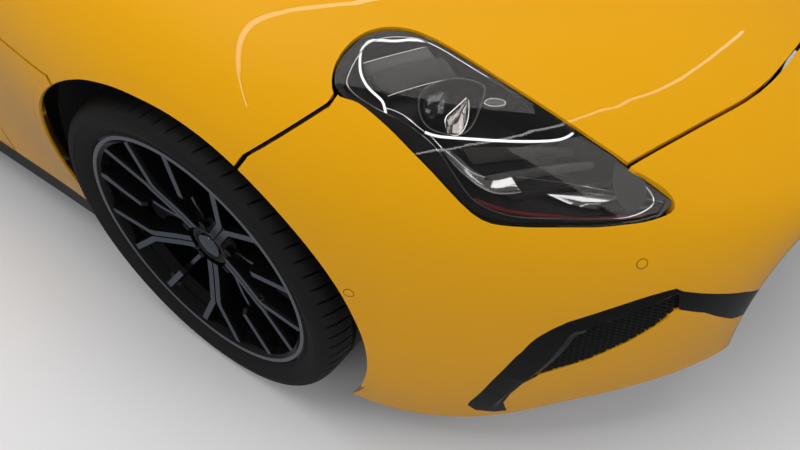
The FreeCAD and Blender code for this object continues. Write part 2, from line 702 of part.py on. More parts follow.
def splitter():
    """The dark undertray behind the nose's lower edge and the beam below the mouth."""
    outline = both_sides(SPLITTER_PLAN)
    corners = [Vector(along(x), y, SPLITTER_LOW) for x, y, z in outline]
    face = Part.Face(Part.makePolygon(corners + [corners[0]]))
    tray = face.extrude(Vector(0, 0, 12))
    beam = block(800, 860, -380, 380, SPLITTER_LOW + 12, 149.7)
    return tray.fuse(beam)


SPLITTER_LOW = 127.7


def underbody():
    """Floor, bulkheads, rails and wheel housings in one piece."""
    low = size("floor_height")
    wall = size("floor_wall")
    half = size("floor_half")
    outline = [(790, 380), (640, 560), (420, 620), (420, 470), (-430, 470), (-430, half),
               (-2480, half), (-2480, 600), (-3350, 600), (-3350, 800), (-3600, 760)]
    corners = [Vector(along(x), y, low) for x, y in outline]
    corners += [Vector(p.x, -p.y, low) for p in reversed(corners)]
    floor = Part.Face(Part.makePolygon(corners + [corners[0]])).extrude(Vector(0, 0, wall))
    pieces = [block(-606, -598, -662, 662, low, 880),
              block(-2466, -2458, -620, 620, low, 700),
              block(-2900, -2458, -560, 560, 852, 860),
              block(-2466, -2458, -560, 560, 690, 860),
              block(-3600, -2950, -560, 560, 352, 360),
              block(-2960, -2952, -560, 560, 352, 700),
              block(-3600, -3592, -560, 560, low, 360)]
    for side in (-1, 1):
        y0, y1 = sorted((side * 430, side * 478))
        pieces.append(block(-606, 700, y0, y1, low + wall, 330))
        y0, y1 = sorted((side * 470, side * 478))
        pieces.append(block(-606, 430, y0, y1, low, 735))
        pieces.append(wheelhouse(FRONT_X, size("arch_centre"), LINER_RADIUS, 478, 915, side))
        y0, y1 = sorted((side * 560, side * 568))
        pieces.append(block(-3360, -2458, y0, y1, low, 760))
        pieces.append(wheelhouse(REAR_X, size("rear_arch_centre"), 400, 568, 925, side))
    for side in (-1, 1):
        pieces.append(hinge_bracket(BONNET_HINGE, side, 660, 676, 690, (-18, 22), -93))
        pieces.append(hinge_bracket(LID_HINGE, side, 475, 491, 505, (-20, 100), -93))
    return floor.fuse(pieces)


def hinge_bracket(pivot, side, inner, outer, pin_end, span, foot):
    """An upright ear with the pin that a hinge arm turns on."""
    y0, y1 = sorted((side * inner, side * outer))
    ear = Part.makeBox(span[1] - span[0], y1 - y0, 12 - foot,
                       Vector(pivot.x + span[0], y0, pivot.z + foot))
    start = Vector(pivot.x, side * (inner + 1), pivot.z)
    return ear.fuse(Part.makeCylinder(HINGE_PIN, pin_end - inner, start, Vector(0, side, 0)))


def wheelhouse(x, z, radius, inner, outer, side):
    """The upper half of a tube over a wheel."""
    start = Vector(x, side * inner, z)
    way = Vector(0, side, 0)
    tube = Part.makeCylinder(radius + 5, outer - inner, start, way)
    tube = tube.cut(Part.makeCylinder(radius, outer - inner, start, way))
    lower = Part.makeBox(3 * radius, 3000, radius + 80, Vector(x - 1.5 * radius, -1500, -80))
    return tube.cut(lower)


def ball_y():
    """Distance of a steering axis from the centre plane."""
    return size("steer_offset")


LOWER_BALL = 225
UPPER_BALL = 520


def front_suspension():
    """Wishbones, rack and cross members at the front axle."""
    pieces = []
    joints = []
    for side in (-1, 1):
        for height, spread in ((LOWER_BALL, 130), (UPPER_BALL, 84)):
            ball = Vector(FRONT_X, side * ball_y(), height)
            for end in (-spread, spread):
                pieces.append(rod(Vector(FRONT_X + end, side * 474, height), ball, 11))
            joints.append(Part.makeCylinder(24, 24, ball - Vector(0, 0, 12)))
    bores = []
    for side in (-1, 1):
        for height in (LOWER_BALL, UPPER_BALL):
            base = Vector(FRONT_X, side * ball_y(), height - 40)
            bores.append(Part.makeCylinder(9 + size("running_gap"), 80, base))
    inside = block(-400, 400, -478.3, 478.3, 0, 900)
    return Part.makeCompound([pieces[k].fuse([pieces[k + 1], joints[k // 2]])
                              .cut(bores + [inside]) for k in range(0, len(pieces), 2)])


def knuckle():
    """The right upright: hub carrier, ball pins, stub and brake caliper."""
    middle = Vector(FRONT_X, -ball_y(), size("arch_centre") - 2)
    way = Vector(0, -1, 0)
    axle = Vector(FRONT_X, -ball_y() + 22, size("front_tyre_radius"))
    carrier = Part.makeCylinder(58, 44, axle, way)
    stub = Part.makeCylinder(size("hub_bore") - size("running_gap"), 122, axle, way)
    post_low = LOWER_BALL + 18
    post = Part.makeBox(48, 40, UPPER_BALL - 36 - LOWER_BALL,
                        Vector(FRONT_X - 24, -ball_y() - 20, post_low))
    pins = Part.makeCylinder(9, UPPER_BALL - LOWER_BALL + 24,
                             Vector(FRONT_X, -ball_y(), LOWER_BALL - 12))
    return carrier.fuse([stub, post, pins, caliper(FRONT_X, size("front_tyre_radius"), 839,
                                                   size("disc_radius"), 218)])


def caliper(x, z, disc_y, disc_radius, reach):
    """A right-hand brake caliper behind the axle, bridging its disc, with a mounting arm."""
    half = size("disc_wall") / 2
    ring = Part.makeCylinder(reach, 2 * half + 52, Vector(x, -disc_y + half + 28, z),
                             Vector(0, -1, 0))
    core = Part.makeCylinder(120, 2 * half + 52, Vector(x, -disc_y + half + 28, z),
                             Vector(0, -1, 0))
    room = Part.makeCylinder(disc_radius + 6, 2 * half + 12, Vector(x, -disc_y + half + 6, z),
                             Vector(0, -1, 0))
    sector = Part.makeBox(260, 300, 220, Vector(x - 260, -disc_y - 150, z - 110))
    mount = Part.makeBox(130, 14, 60, Vector(x - 150, -disc_y + half + 14, z - 30))
    return ring.cut([core, room]).common(sector).fuse(mount)


def revolved(profile):
    """Turns an (r, w) outline round the wheel's own axis; w runs towards its outer face."""
    corners = [Vector(r, -w, 0) for r, w in profile]
    face = Part.Face(Part.makePolygon(corners + [corners[0]]))
    return face.revolve(Vector(0, 0, 0), Vector(0, 1, 0), 360)


def tyre(radius, width, bead):
    """A low profile tyre about its own centre."""
    half = width / 2
    seat = bead + 0.3
    profile = [(radius, half - 30), (radius - 21, half), (bead + 17, half - 15.4),
               (seat, half - 27.8), (seat, 27.8 - half), (bead + 17, 15.4 - half),
               (radius - 21, -half), (radius, 30 - half)]
    return revolved(profile)


def bar(start, end, face, back, width, angle):
    """A spoke bar in the wheel's plane from (r, a) to (r, a), a in degrees."""
    ends = []
    for radius, turn in (start, end):
        a = math.radians(turn + angle)
        ends.append(Vector(radius * math.cos(a), 0, radius * math.sin(a)))
    run = (ends[1] - ends[0]).normalize()
    aside = run.cross(Vector(0, 1, 0)) * (width / 2)
    corners = [ends[0] + Vector(0, -face[0], 0), ends[1] + Vector(0, -face[1], 0),
               ends[1] + Vector(0, -back[1], 0), ends[0] + Vector(0, -back[0], 0)]
    corners = [c - aside for c in corners]
    return Part.Face(Part.makePolygon(corners + [corners[0]])).extrude(aside * 2)


def rim(bead, width, disc_radius, disc_offset):
    """An alloy wheel about its own centre: barrel, forked spokes, hub and brake disc."""
    half = width / 2
    wall = size("rim_wall")
    profile = [(bead + 16, half - 15.6), (bead, half - 27.4), (bead - 18, half - 60),
               (bead - 18, half - 150), (bead, half - 190), (bead, 27.4 - half),
               (bead + 16, 15.6 - half), (bead + 16 - wall, 15.6 - half),
               (bead - wall, 36 - half), (bead - wall, half - 196),
               (bead - 18 - wall, half - 156), (bead - 18 - wall, half - 54),
               (bead - wall, half - 24), (bead + 16 - wall, half - 15.6)]
    shape = revolved(profile)
    groups = int(size("spoke_groups"))
    step = 360 / groups
    reach = bead - wall / 2
    fork = 0.58 * bead
    tip = half - 28
    spokes = []
    for k in range(groups):
        turn = 90 + 180 + k * step
        spokes.append(bar((40, 0), (fork + 6, 0), (tip - 22, tip), (tip - 62, tip - 34), 34, turn))
        for lean in (-12, 12):
            spokes.append(bar((fork, 0), (reach, lean), (tip, tip - 1), (tip - 34, tip - 28), 15,
                              turn))
        spokes.append(bar((fork, step / 2), (reach, step / 2), (tip, tip - 1),
                          (tip - 34, tip - 28), 15, turn))
        spokes.append(bar((40, step / 2), (fork + 8, step / 2), (tip - 30, tip - 12),
                          (tip - 62, tip - 34), 11, turn))
    hub = Part.makeCylinder(70, 46, Vector(0, -(tip - 20), 0), Vector(0, 1, 0))
    bore = Part.makeCylinder(size("hub_bore"), 36, Vector(0, -(tip - 30), 0), Vector(0, 1, 0))
    disc = Part.makeCylinder(disc_radius, size("disc_wall"),
                             Vector(0, -disc_offset - size("disc_wall") / 2, 0),
                             Vector(0, 1, 0))
    hat = Part.makeCylinder(88, tip - 66 - disc_offset + 20, Vector(0, -(tip - 66), 0),
                            Vector(0, 1, 0))
    through = Part.makeCylinder(size("hub_bore"), 200, Vector(0, -(tip - 66), 0),
                                Vector(0, 1, 0))
    hollow = Part.makeCylinder(80, 60, Vector(0, -disc_offset - 17 + 0, 0), Vector(0, 1, 0))
    return shape.fuse(spokes + [hub, disc, hat]).cut([bore, through, hollow])


WHEELS = [("front", FRONT_X, size("front_tyre_radius"), size("front_tyre_width"),
           size("front_bead_radius"), size("disc_radius"), 11),
          ("rear", REAR_X, size("rear_tyre_radius"), size("rear_tyre_width"),
           size("rear_bead_radius"), 180, 22)]


def wheel_middle(axle, side):
    """Where a wheel's own centre lies."""
    name, x, radius, width, bead, disc, offset = axle
    return Vector(x, side * (size("tyre_face") - width / 2), radius)


def rear_suspension():
    """Arms, hub carriers with stubs and calipers of the rear axle."""
    sides = []
    axle = WHEELS[1]
    radius = size("rear_tyre_radius")
    for_disc = size("tyre_face") - size("rear_tyre_width") / 2 + 22
    start = Vector(REAR_X, -768, radius)
    carrier = Part.makeCylinder(56, 38, start, Vector(0, -1, 0))
    stub = Part.makeCylinder(size("hub_bore") - size("running_gap"), 121, start,
                             Vector(0, -1, 0))
    post = Part.makeBox(44, 36, 330, Vector(REAR_X - 22, -800, 210))
    arms = []
    for height in (230, 500):
        for end in (-130, 130):
            arms.append(rod(Vector(REAR_X + end, -566, height),
                            Vector(REAR_X, -785, height), 12))
    right = carrier.fuse([stub, post, caliper(REAR_X, radius, for_disc, 180, 214)] + arms)
    right = right.cut(block(-3400, -2458, -568.3, 0, 0, 900))
    return Part.makeCompound([right, mirror(right)])


def engine():
    """The engine as one plain block behind the front axle, with its mounts on the rails."""
    length, width = size("engine_length"), size("engine_width")
    body = Part.makeBox(length, width, size("engine_height"),
                        Vector(along(-590), -width / 2, 230))
    return body.fuse(block(-330, -230, -465, 465, 330.3, 352))


def cross_profile(points, y0, y1):
    """An outline of (x, z) points drawn out across the car between two widths."""
    corners = [Vector(along(x), y0, z) for x, z in points]
    return Part.Face(Part.makePolygon(corners + [corners[0]])).extrude(Vector(0, y1 - y0, 0))


WHEEL_HUB = Vector(along(-1050), 370, 890)
COLUMN = Vector(0.906, 0, -0.423)


def dashboard():
    """The dashboard with the steering column's shroud."""
    panel = cross_profile([(-606.3, 700), (-606.3, 868), (-760, 890), (-900, 872),
                           (-985, 800), (-950, 730), (-760, 640)], -690, 690)
    corner = block(-640, -600, -700, -648, 600, 900)
    shroud = Part.makeCylinder(42, 150, WHEEL_HUB + COLUMN * 40, COLUMN)
    bore = Part.makeCylinder(18 + size("running_gap"), 90, WHEEL_HUB + COLUMN * 30, COLUMN)
    return panel.fuse(shroud).cut([bore, corner, mirror(corner)])


def steering_wheel():
    """Rim, three spokes, hub and the shaft that runs into the shroud."""
    radius = size("steering_wheel_radius")
    ring = Part.makeTorus(radius - 15, 15, WHEEL_HUB, COLUMN)
    hub = Part.makeCylinder(52, 34, WHEEL_HUB - COLUMN * 6, COLUMN)
    shaft = Part.makeCylinder(18, 100, WHEEL_HUB, COLUMN)
    aside = Vector(0, 1, 0)
    down = COLUMN.cross(aside)
    if down.z > 0:
        down = down * -1
    spokes = [rod(WHEEL_HUB + COLUMN * 8, WHEEL_HUB + COLUMN * 4 + way * (radius - 15), 10)
              for way in (aside, aside * -1, down)]
    return ring.fuse([hub, shaft] + spokes)


def centre_console():
    """The tunnel console between the seats."""
    return cross_profile([(-960, 148.3), (-800, 500), (-952, 725), (-1080, 560), (-1700, 520),
                          (-2050, 500), (-2050, 148.3)], -118, 118)


def seat():
    """The right front seat: base, cushion, back and headrest."""
    middle = -392
    half = size("seat_width") / 2
    base = cross_profile([(-1330, 148.3), (-1300, 262), (-1700, 262), (-1720, 148.3)],
                         middle - 190, middle + 190)
    cushion = cross_profile([(-1210, 330), (-1225, 262), (-1740, 240), (-1800, 330),
                             (-1760, 400), (-1240, 418)], middle - half, middle + half)
    back = cross_profile([(-1690, 380), (-1800, 330), (-1850, 400), (-2035, 940), (-2000, 985),
                          (-1925, 975)], middle - half, middle + half)
    head = cross_profile([(-1940, 960), (-2060, 975), (-2075, 1120), (-2030, 1150),
                          (-1965, 1130)], middle - 135, middle + 135)
    cushion = cushion.makeFillet(22, cushion.Edges)
    return cushion.fuse([base, back.makeFillet(18, back.Edges), head.makeFillet(20, head.Edges)])


def rear_bench():
    """The rear bench with its back against the bulkhead."""
    cushion = cross_profile([(-2110, 148.3), (-2090, 400), (-2120, 450), (-2430, 400),
                             (-2457.7, 148.3)], -555, 555)
    back = cross_profile([(-2330, 415), (-2370, 845), (-2430, 850), (-2457.7, 830),
                          (-2457.7, 300), (-2420, 300)], -555, 555)
    return cushion.fuse(back)


def mirror_unit(door):
    """The right door mirror on its arm."""
    reach = size("mirror_reach")
    housing = Part.makeBox(96, 196, 122, Vector(along(-818), -reach, 950))
    ahead = [edge for edge in housing.Edges if edge.CenterOfMass.x > along(-818) + 1]
    housing = housing.makeFillet(38, ahead)
    arm = rod(Vector(along(-770), -800, 915), Vector(along(-780), -(reach - 120), 985), 15)
    return keep(housing.fuse(arm).cut(door))


TAIL_WALL = tail_wall()
TAIL_LAMPS_IN = both(front_prism([(-y, z) for y, z in TAIL_LAMP], along(-4100), along(-3600),
                                 -2 * SEAM))
DIFFUSER_CUT = block(-4100, -3600, -640, 640, 0, 318)

part("front_bumper", front_bumper())
bumper = doc.getObject("front_bumper").Shape
part("front_grille", front_grille(bumper))
part("intake_grilles", intake_grilles())
part("front_splitter", splitter().cut([bumper]))
right_lamp = headlamp()
part("headlamp_right", right_lamp)
part("headlamp_left", mirror(right_lamp))
part("bonnet", bonnet())
part("wings", wings())
part("sills", sills())
part("body_shell", body_shell())
part("cowl", cowl())
part("windscreen", windscreen())
part("rear_window", rear_window())
part("quarter_glass", quarter_glass())
leaf = [Part.makeBox(43.4, 12, LEAF_HEIGHT, Vector(along(-694), -870, z)) for z in LEAF_FEET]
door_solids = sorted(doors().Solids, key=lambda solid: -solid.Volume)[:2]
glass_solids = sorted(door_glasses().Solids, key=lambda solid: -solid.Volume)[:2]
for side, name in ((-1, "right"), (1, "left")):
    for solid in door_solids:
        if solid.CenterOfMass.y * side > 0:
            leaves = leaf if side < 0 else [mirror(one) for one in leaf]
            door = solid.fuse(leaves)
            part("door_" + name, door)
    for solid in glass_solids:
        if solid.CenterOfMass.y * side > 0:
            part("door_glass_" + name, solid.cut(door))
mirror_right = mirror_unit(doc.getObject("door_right").Shape)
part("mirror_right", mirror_right)
part("mirror_left", mirror(mirror_right))
part("boot_lid", boot_lid())
part("rear_bumper", rear_bumper())
part("tail_lamps", tail_lamps())
part("diffuser", diffuser(doc.getObject("rear_bumper").Shape))
part("exhausts", exhausts())
part("underbody", underbody())
part("engine", engine())
part("dashboard", dashboard())
part("steering_wheel", steering_wheel())
part("centre_console", centre_console())
right_seat = seat()
part("seat_right", right_seat)
part("seat_left", mirror(right_seat))
part("rear_bench", rear_bench())
part("front_suspension", front_suspension())
part("rear_suspension", rear_suspension())
right_knuckle = knuckle()
part("knuckle_right", right_knuckle)
part("knuckle_left", mirror(right_knuckle))
for axle in WHEELS:
    name, x, radius, width, bead, disc, offset = axle
    rubber = tyre(radius, width, bead)
    alloy = rim(bead, width, disc, offset)
    part("tyre_%s_right" % name, rubber, wheel_middle(axle, -1))
    part("rim_%s_right" % name, alloy, wheel_middle(axle, -1))
    part("tyre_%s_left" % name, mirror(rubber), wheel_middle(axle, 1))
    part("rim_%s_left" % name, mirror(alloy), wheel_middle(axle, 1))

doc.recompute()
os.makedirs("parts", exist_ok=True)
failed = []
for item in doc.Objects:
    if not item.isDerivedFrom("Part::Feature"):
        continue
    if "Invalid" in item.State or "Error" in item.State:
        failed.append(item.Label + " failed to build")
        continue
    if item.Shape.isNull() or not item.Shape.isValid():
        failed.append(item.Label + " has no valid shape")
        continue
    item.Shape.exportStep("parts/%s.step" % item.Label)
    box = item.Shape.BoundBox
    print(item.Label, len(item.Shape.Solids),
          [round(v) for v in (box.XMin, box.YMin, box.ZMin, box.XMax, box.YMax, box.ZMax)])
if failed:
    raise RuntimeError("; ".join(failed))
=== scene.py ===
"""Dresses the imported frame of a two-door coupe: paint, lamps, wheels, intakes, glass and cabin."""

import bmesh
import bpy
import math
import numpy as np
from mathutils import Matrix, Vector
from mathutils.bvhtree import BVHTree


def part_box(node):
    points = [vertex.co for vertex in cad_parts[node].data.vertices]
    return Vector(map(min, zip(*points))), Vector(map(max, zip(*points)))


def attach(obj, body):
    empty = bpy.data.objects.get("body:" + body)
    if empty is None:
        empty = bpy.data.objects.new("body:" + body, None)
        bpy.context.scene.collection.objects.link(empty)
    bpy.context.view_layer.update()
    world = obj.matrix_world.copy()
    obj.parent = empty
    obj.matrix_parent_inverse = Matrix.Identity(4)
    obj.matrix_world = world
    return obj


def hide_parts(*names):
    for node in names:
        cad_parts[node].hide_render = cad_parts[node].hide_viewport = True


bl_info = {
    "name": "Coupe dress",
    "version": (1, 0, 0),
    "blender": (4, 5, 0),
    "location": "View3D > Sidebar > Coupe",
    "description": "Builds the paint, lamps, wheels, glass and cabin of a two-door coupe",
    "category": "Object",
}

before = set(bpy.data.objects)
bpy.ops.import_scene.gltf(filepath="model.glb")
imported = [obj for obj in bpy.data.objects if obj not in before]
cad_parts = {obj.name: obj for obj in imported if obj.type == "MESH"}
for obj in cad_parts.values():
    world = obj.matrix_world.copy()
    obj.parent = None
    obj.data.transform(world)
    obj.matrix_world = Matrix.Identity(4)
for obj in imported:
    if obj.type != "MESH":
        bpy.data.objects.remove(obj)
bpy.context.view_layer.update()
MM = 0.001


def middle(node, axis):
    """The middle of a frame node's box along one axis."""
    low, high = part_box(node)
    return (low[axis] + high[axis]) / 2


FRONT_AXLE = middle("tyre_front_right", 0)
REAR_AXLE = middle("tyre_rear_right", 0)


def at(x, y, z):
    """A place from millimetres, with x measured from the front axle."""
    return Vector((FRONT_AXLE + x * MM, y * MM, z * MM))


# The body's skin, as the frame has it. Each row: x at the centre line and at the side, from
# the front axle, then (y, z) of floor edge, sill, waist, side, shoulder, crest, belt, glass,
# rail and roof side, and the height of the centre line, in millimetres.
SKIN_ROWS = [
    (880, 800, (400, 150), (415, 210), (425, 290), (425, 370), (405, 450), (350, 492),
     (290, 505), (220, 512), (140, 517), (70, 520), 520),
    (960, 874, (425, 140), (443, 205), (457, 290), (458, 380), (438, 470), (375, 520),
     (310, 534), (235, 542), (150, 548), (75, 551), 552),
    (968, 872, (440, 132), (470, 205), (492, 300), (500, 400), (482, 500), (410, 560),
     (335, 574), (250, 582), (160, 588), (80, 591), 592),
    (905, 801, (560, 128), (590, 205), (612, 300), (622, 410), (600, 520), (520, 592),
     (420, 618), (315, 632), (200, 638), (100, 641), 642),
    (800, 660, (705, 122), (732, 205), (750, 300), (756, 420), (730, 545), (640, 625),
     (520, 668), (395, 686), (260, 696), (130, 700), 701),
    (660, 520, (820, 98), (845, 200), (857, 300), (858, 430), (832, 580), (735, 680),
     (600, 728), (460, 744), (310, 754), (155, 759), 760),
    (500, 380, (895, 98), (916, 200), (926, 300), (928, 440), (908, 610), (805, 728),
     (665, 772), (515, 782), (350, 792), (175, 799), 800),
    (330, 230, (925, 128), (940, 205), (956, 320), (968, 480), (956, 660), (840, 790),
     (690, 812), (540, 814), (370, 824), (185, 832), 833),
    (150, 60, (925, 128), (942, 205), (964, 330), (982, 510), (976, 700), (850, 838),
     (700, 842), (550, 838), (380, 850), (190, 859), 861),
    (-30, -120, (915, 128), (932, 205), (960, 330), (985, 520), (980, 715), (855, 858),
     (705, 858), (555, 855), (385, 870), (192, 880), 882),
    (-210, -300, (905, 128), (920, 205), (952, 330), (975, 520), (968, 715), (852, 862),
     (710, 872), (565, 872), (392, 888), (196, 900), 902),
    (-370, -480, (900, 128), (912, 205), (932, 330), (950, 520), (943, 710), (845, 860),
     (735, 893), (600, 900), (410, 912), (205, 922), 924),
    (-450, -640, (900, 128), (912, 205), (922, 330), (936, 520), (926, 705), (845, 862),
     (765, 915), (650, 940), (440, 950), (220, 955), 957),
    (-620, -800, (900, 128), (912, 205), (918, 330), (930, 520), (920, 705), (845, 868),
     (790, 925), (700, 1000), (520, 1042), (260, 1065), 1070),
    (-850, -1000, (900, 128), (912, 205), (916, 330), (927, 520), (917, 705), (845, 875),
     (800, 932), (715, 1080), (590, 1170), (310, 1198), 1205),
    (-1120, -1240, (900, 128), (912, 205), (916, 330), (926, 520), (917, 705), (846, 880),
     (802, 938), (705, 1130), (600, 1262), (330, 1302), 1310),
    (-1450, -1530, (900, 128), (912, 205), (917, 330), (928, 520), (920, 705), (850, 885),
     (802, 945), (700, 1150), (590, 1300), (330, 1350), 1360),
    (-1800, -1850, (900, 128), (914, 205), (922, 330), (934, 520), (928, 710), (858, 892),
     (798, 955), (690, 1145), (570, 1295), (320, 1348), 1358),
    (-2150, -2180, (905, 128), (922, 205), (936, 330), (950, 520), (945, 725), (868, 905),
     (780, 975), (665, 1125), (540, 1255), (300, 1310), 1320),
    (-2480, -2480, (915, 128), (935, 205), (955, 330), (975, 520), (970, 745), (885, 915),
     (755, 985), (630, 1090), (500, 1180), (280, 1235), 1245),
    (-2780, -2760, (925, 128), (945, 205), (968, 330), (990, 530), (986, 755), (895, 920),
     (735, 975), (600, 1035), (465, 1095), (260, 1135), 1145),
    (-3080, -3030, (925, 128), (945, 205), (965, 330), (986, 540), (980, 760), (885, 915),
     (725, 960), (580, 990), (440, 1020), (245, 1045), 1052),
    (-3380, -3290, (910, 135), (930, 215), (948, 340), (962, 545), (950, 760), (855, 895),
     (710, 940), (560, 958), (415, 972), (230, 985), 990),
    (-3650, -3530, (870, 150), (888, 235), (902, 350), (912, 545), (898, 750), (800, 872),
     (670, 915), (530, 932), (390, 945), (215, 955), 960),
    (-3860, -3720, (790, 180), (808, 260), (820, 370), (826, 545), (812, 735), (735, 850),
     (620, 893), (495, 912), (365, 925), (200, 935), 940),
    (-3955, -3850, (670, 215), (690, 285), (700, 385), (704, 550), (695, 720), (640, 815),
     (550, 858), (445, 878), (330, 892), (180, 902), 907),
    (-3985, -3945, (480, 260), (500, 320), (510, 400), (512, 550), (505, 690), (470, 765),
     (410, 805), (340, 825), (255, 838), (140, 846), 850),
    (-3993, -3993, (280, 310), (295, 350), (302, 410), (303, 540), (300, 640), (285, 700),
     (260, 740), (220, 762), (165, 775), (90, 782), 785),
]


# The skin surface

def spline(t):
    """The four weights of a uniform cubic curve."""
    return np.stack([(1 - t) ** 3, 3 * t ** 3 - 6 * t ** 2 + 4,
                     -3 * t ** 3 + 3 * t ** 2 + 3 * t + 1, t ** 3], -1) / 6


def spline_slope(t):
    """How the four weights change along the curve."""
    return np.stack([-(1 - t) ** 2, 3 * t ** 2 - 4 * t, -3 * t ** 2 + 2 * t + 1, t ** 2], -1) / 2


class Skin:
    """The body's outer surface, with its normal anywhere on it."""

    STEPS = 12

    def __init__(self):
        lines = []
        for row in SKIN_ROWS:
            centre, side = row[0], row[1]
            widest = max(y for y, z in row[2:12])
            right = [at(centre + (side - centre) * (y / widest) ** 2, -y, z)
                     for y, z in row[2:12]]
            left = [Vector((p.x, -p.y, p.z)) for p in reversed(right)]
            lines.append(right + [at(centre, 0, row[12])] + left)
        self.cage = np.array([[tuple(p) for p in line] for line in lines])
        self.rows, self.columns = self.cage.shape[:2]
        net = self.cage
        net = np.concatenate([2 * net[:1] - net[1:2], net, 2 * net[-1:] - net[-2:-1]], 0)
        net = np.concatenate([2 * net[:, :1] - net[:, 1:2], net,
                              2 * net[:, -1:] - net[:, -2:-1]], 1)
        self.net = net
        count_u = (self.rows - 1) * self.STEPS
        count_v = (self.columns - 1) * self.STEPS
        u, v = np.meshgrid(np.arange(count_u + 1) / self.STEPS,
                           np.arange(count_v + 1) / self.STEPS, indexing="ij")
        self.grid = self.point(u, v)
        self.wide = count_v
        corner = np.arange(count_u)[:, None] * (count_v + 1) + np.arange(count_v)[None, :]
        quads = np.stack([corner, corner + count_v + 1, corner + count_v + 2, corner + 1], -1)
        self.tree = BVHTree.FromPolygons(self.grid.reshape(-1, 3).tolist(),
                                         quads.reshape(-1, 4).tolist())

    def blend(self, u, v, weight_u, weight_v):
        """The net's points around each place, summed by their weights."""
        u, v = np.asarray(u, float), np.asarray(v, float)
        i = np.clip(np.floor(u).astype(int), 0, self.rows - 2)
        j = np.clip(np.floor(v).astype(int), 0, self.columns - 2)
        along_u, along_v = weight_u(u - i), weight_v(v - j)
        total = np.zeros(u.shape + (3,))
        for a in range(4):
            for b in range(4):
                total += (along_u[..., a] * along_v[..., b])[..., None] * self.net[i + a, j + b]
        return total

    def point(self, u, v):
        """Points of the skin."""
        return self.blend(u, v, spline, spline)

    def normal(self, u, v):
        """Outward normals of the skin."""
        way = np.cross(self.blend(u, v, spline, spline_slope),
                       self.blend(u, v, spline_slope, spline))
        return way / np.linalg.norm(way, axis=-1, keepdims=True)

    def spot(self, place, index):
        """The surface parameters of a place on one of the grid's quads."""
        i, j = divmod(index, self.wide)
        corner = self.grid[i, j]
        point = np.array(place) - corner
        along_u, along_v = self.grid[i + 1, j] - corner, self.grid[i, j + 1] - corner
        s = point @ along_u / max(along_u @ along_u, 1e-12)
        t = point @ along_v / max(along_v @ along_v, 1e-12)
        return ((i + min(max(s, 0), 1)) / self.STEPS, (j + min(max(t, 0), 1)) / self.STEPS)

    def nearest(self, place):
        """The skin's parameters and distance nearest to a place."""
        where, _, index, distance = self.tree.find_nearest(Vector(place))
        return self.spot(where, index), distance

    def cast(self, start, way, depth=0.0, reach=9.0):
        """A ray's first point on the skin, sunk below it by a depth, with its normal."""
        where, _, index, _ = self.tree.ray_cast(Vector(start), Vector(way), reach)
        if where is None:
            raise RuntimeError("no skin under %s" % (tuple(start),))
        normal = Vector(self.normal(*self.spot(where, index)))
        return where - normal * depth, normal

    def down(self, x, y, depth=0.0):
        """The skin below a plan place, in millimetres from the front axle."""
        return self.cast(at(x, y, 2000), (0, 0, -1), depth)[0]

    def across(self, x, z, depth=0.0):
        """The right-hand skin at a side place, in millimetres from the front axle."""
        return self.cast(at(x, -1500, z), (0, 1, 0), depth)[0]


SKIN = Skin()


# Modelling helpers

MERGE = 0.00001
LEFTWARDS = Matrix.Scale(-1, 4, (0, 1, 0))


def clear_choice():
    """Deselects every object."""
    bpy.ops.object.select_all(action="DESELECT")
    bpy.context.view_layer.objects.active = None


def alone(obj):
    """Selects one object and makes it active."""
    clear_choice()
    obj.select_set(True)
    bpy.context.view_layer.objects.active = obj
    return obj


def named(name):
    """Names the object that was just added."""
    obj = bpy.context.active_object
    obj.name = name
    obj.data.name = name
    return obj


def settled(obj):
    """Puts an object's place, turn and size into its mesh."""
    alone(obj)
    bpy.ops.object.transform_apply(location=True, rotation=True, scale=True)
    return obj


def editing(obj):
    """Opens edit mode with everything selected."""
    alone(obj)
    bpy.ops.object.mode_set(mode="EDIT")
    bpy.ops.mesh.select_mode(type="VERT")
    bpy.ops.mesh.select_all(action="SELECT")


def done(obj):
    """Leaves edit mode."""
    bpy.ops.object.mode_set(mode="OBJECT")
    return obj


def faced_out(obj):
    """Turns all faces outwards and leaves edit mode."""
    bpy.ops.mesh.select_all(action="SELECT")
    bpy.ops.mesh.normals_make_consistent(inside=False)
    return done(obj)


def closed(obj):
    """Merges doubles and turns the faces outwards."""
    editing(obj)
    bpy.ops.mesh.remove_doubles(threshold=MERGE)
    return faced_out(obj)


def modified(obj, kind, **settings):
    """Adds one modifier and applies it."""
    alone(obj)
    modifier = obj.modifiers.new(kind.title(), kind)
    for key, value in settings.items():
        setattr(modifier, key, value)
    bpy.ops.object.modifier_apply(modifier=modifier.name)
    return obj


def bevelled(obj, width, segments=2, degrees=35):
    """Rounds the edges sharper than an angle."""
    return modified(obj, "BEVEL", width=width, segments=segments, limit_method="ANGLE",
                    angle_limit=math.radians(degrees))


def smooth(obj, degrees=35):
    """Smooth shading except over sharp edges."""
    alone(obj)
    bpy.ops.object.shade_smooth_by_angle(angle=math.radians(degrees))
    return obj


def box(name, low, high):
    """A block between two corners, in metres."""
    low, high = Vector(low), Vector(high)
    clear_choice()
    bpy.ops.mesh.primitive_cube_add(size=1, location=(low + high) / 2)
    obj = named(name)
    obj.scale = high - low
    return settled(obj)


def outline(name, points, fill="NGON"):
    """A flat or bent face, or a bare ring: a circle whose points are moved to their places."""
    clear_choice()
    bpy.ops.mesh.primitive_circle_add(vertices=len(points), radius=1, fill_type=fill)
    obj = named(name)
    for vertex, point in zip(obj.data.vertices, points):
        vertex.co = Vector(point)
    return obj


def drawn_out(obj, way):
    """Extrudes a face into a closed solid."""
    editing(obj)
    bpy.ops.mesh.extrude_region_move(TRANSFORM_OT_translate={"value": tuple(way)})
    return faced_out(obj)


def plate(name, points, way):
    """A solid with an outline and a thickness."""
    return drawn_out(outline(name, points), way)


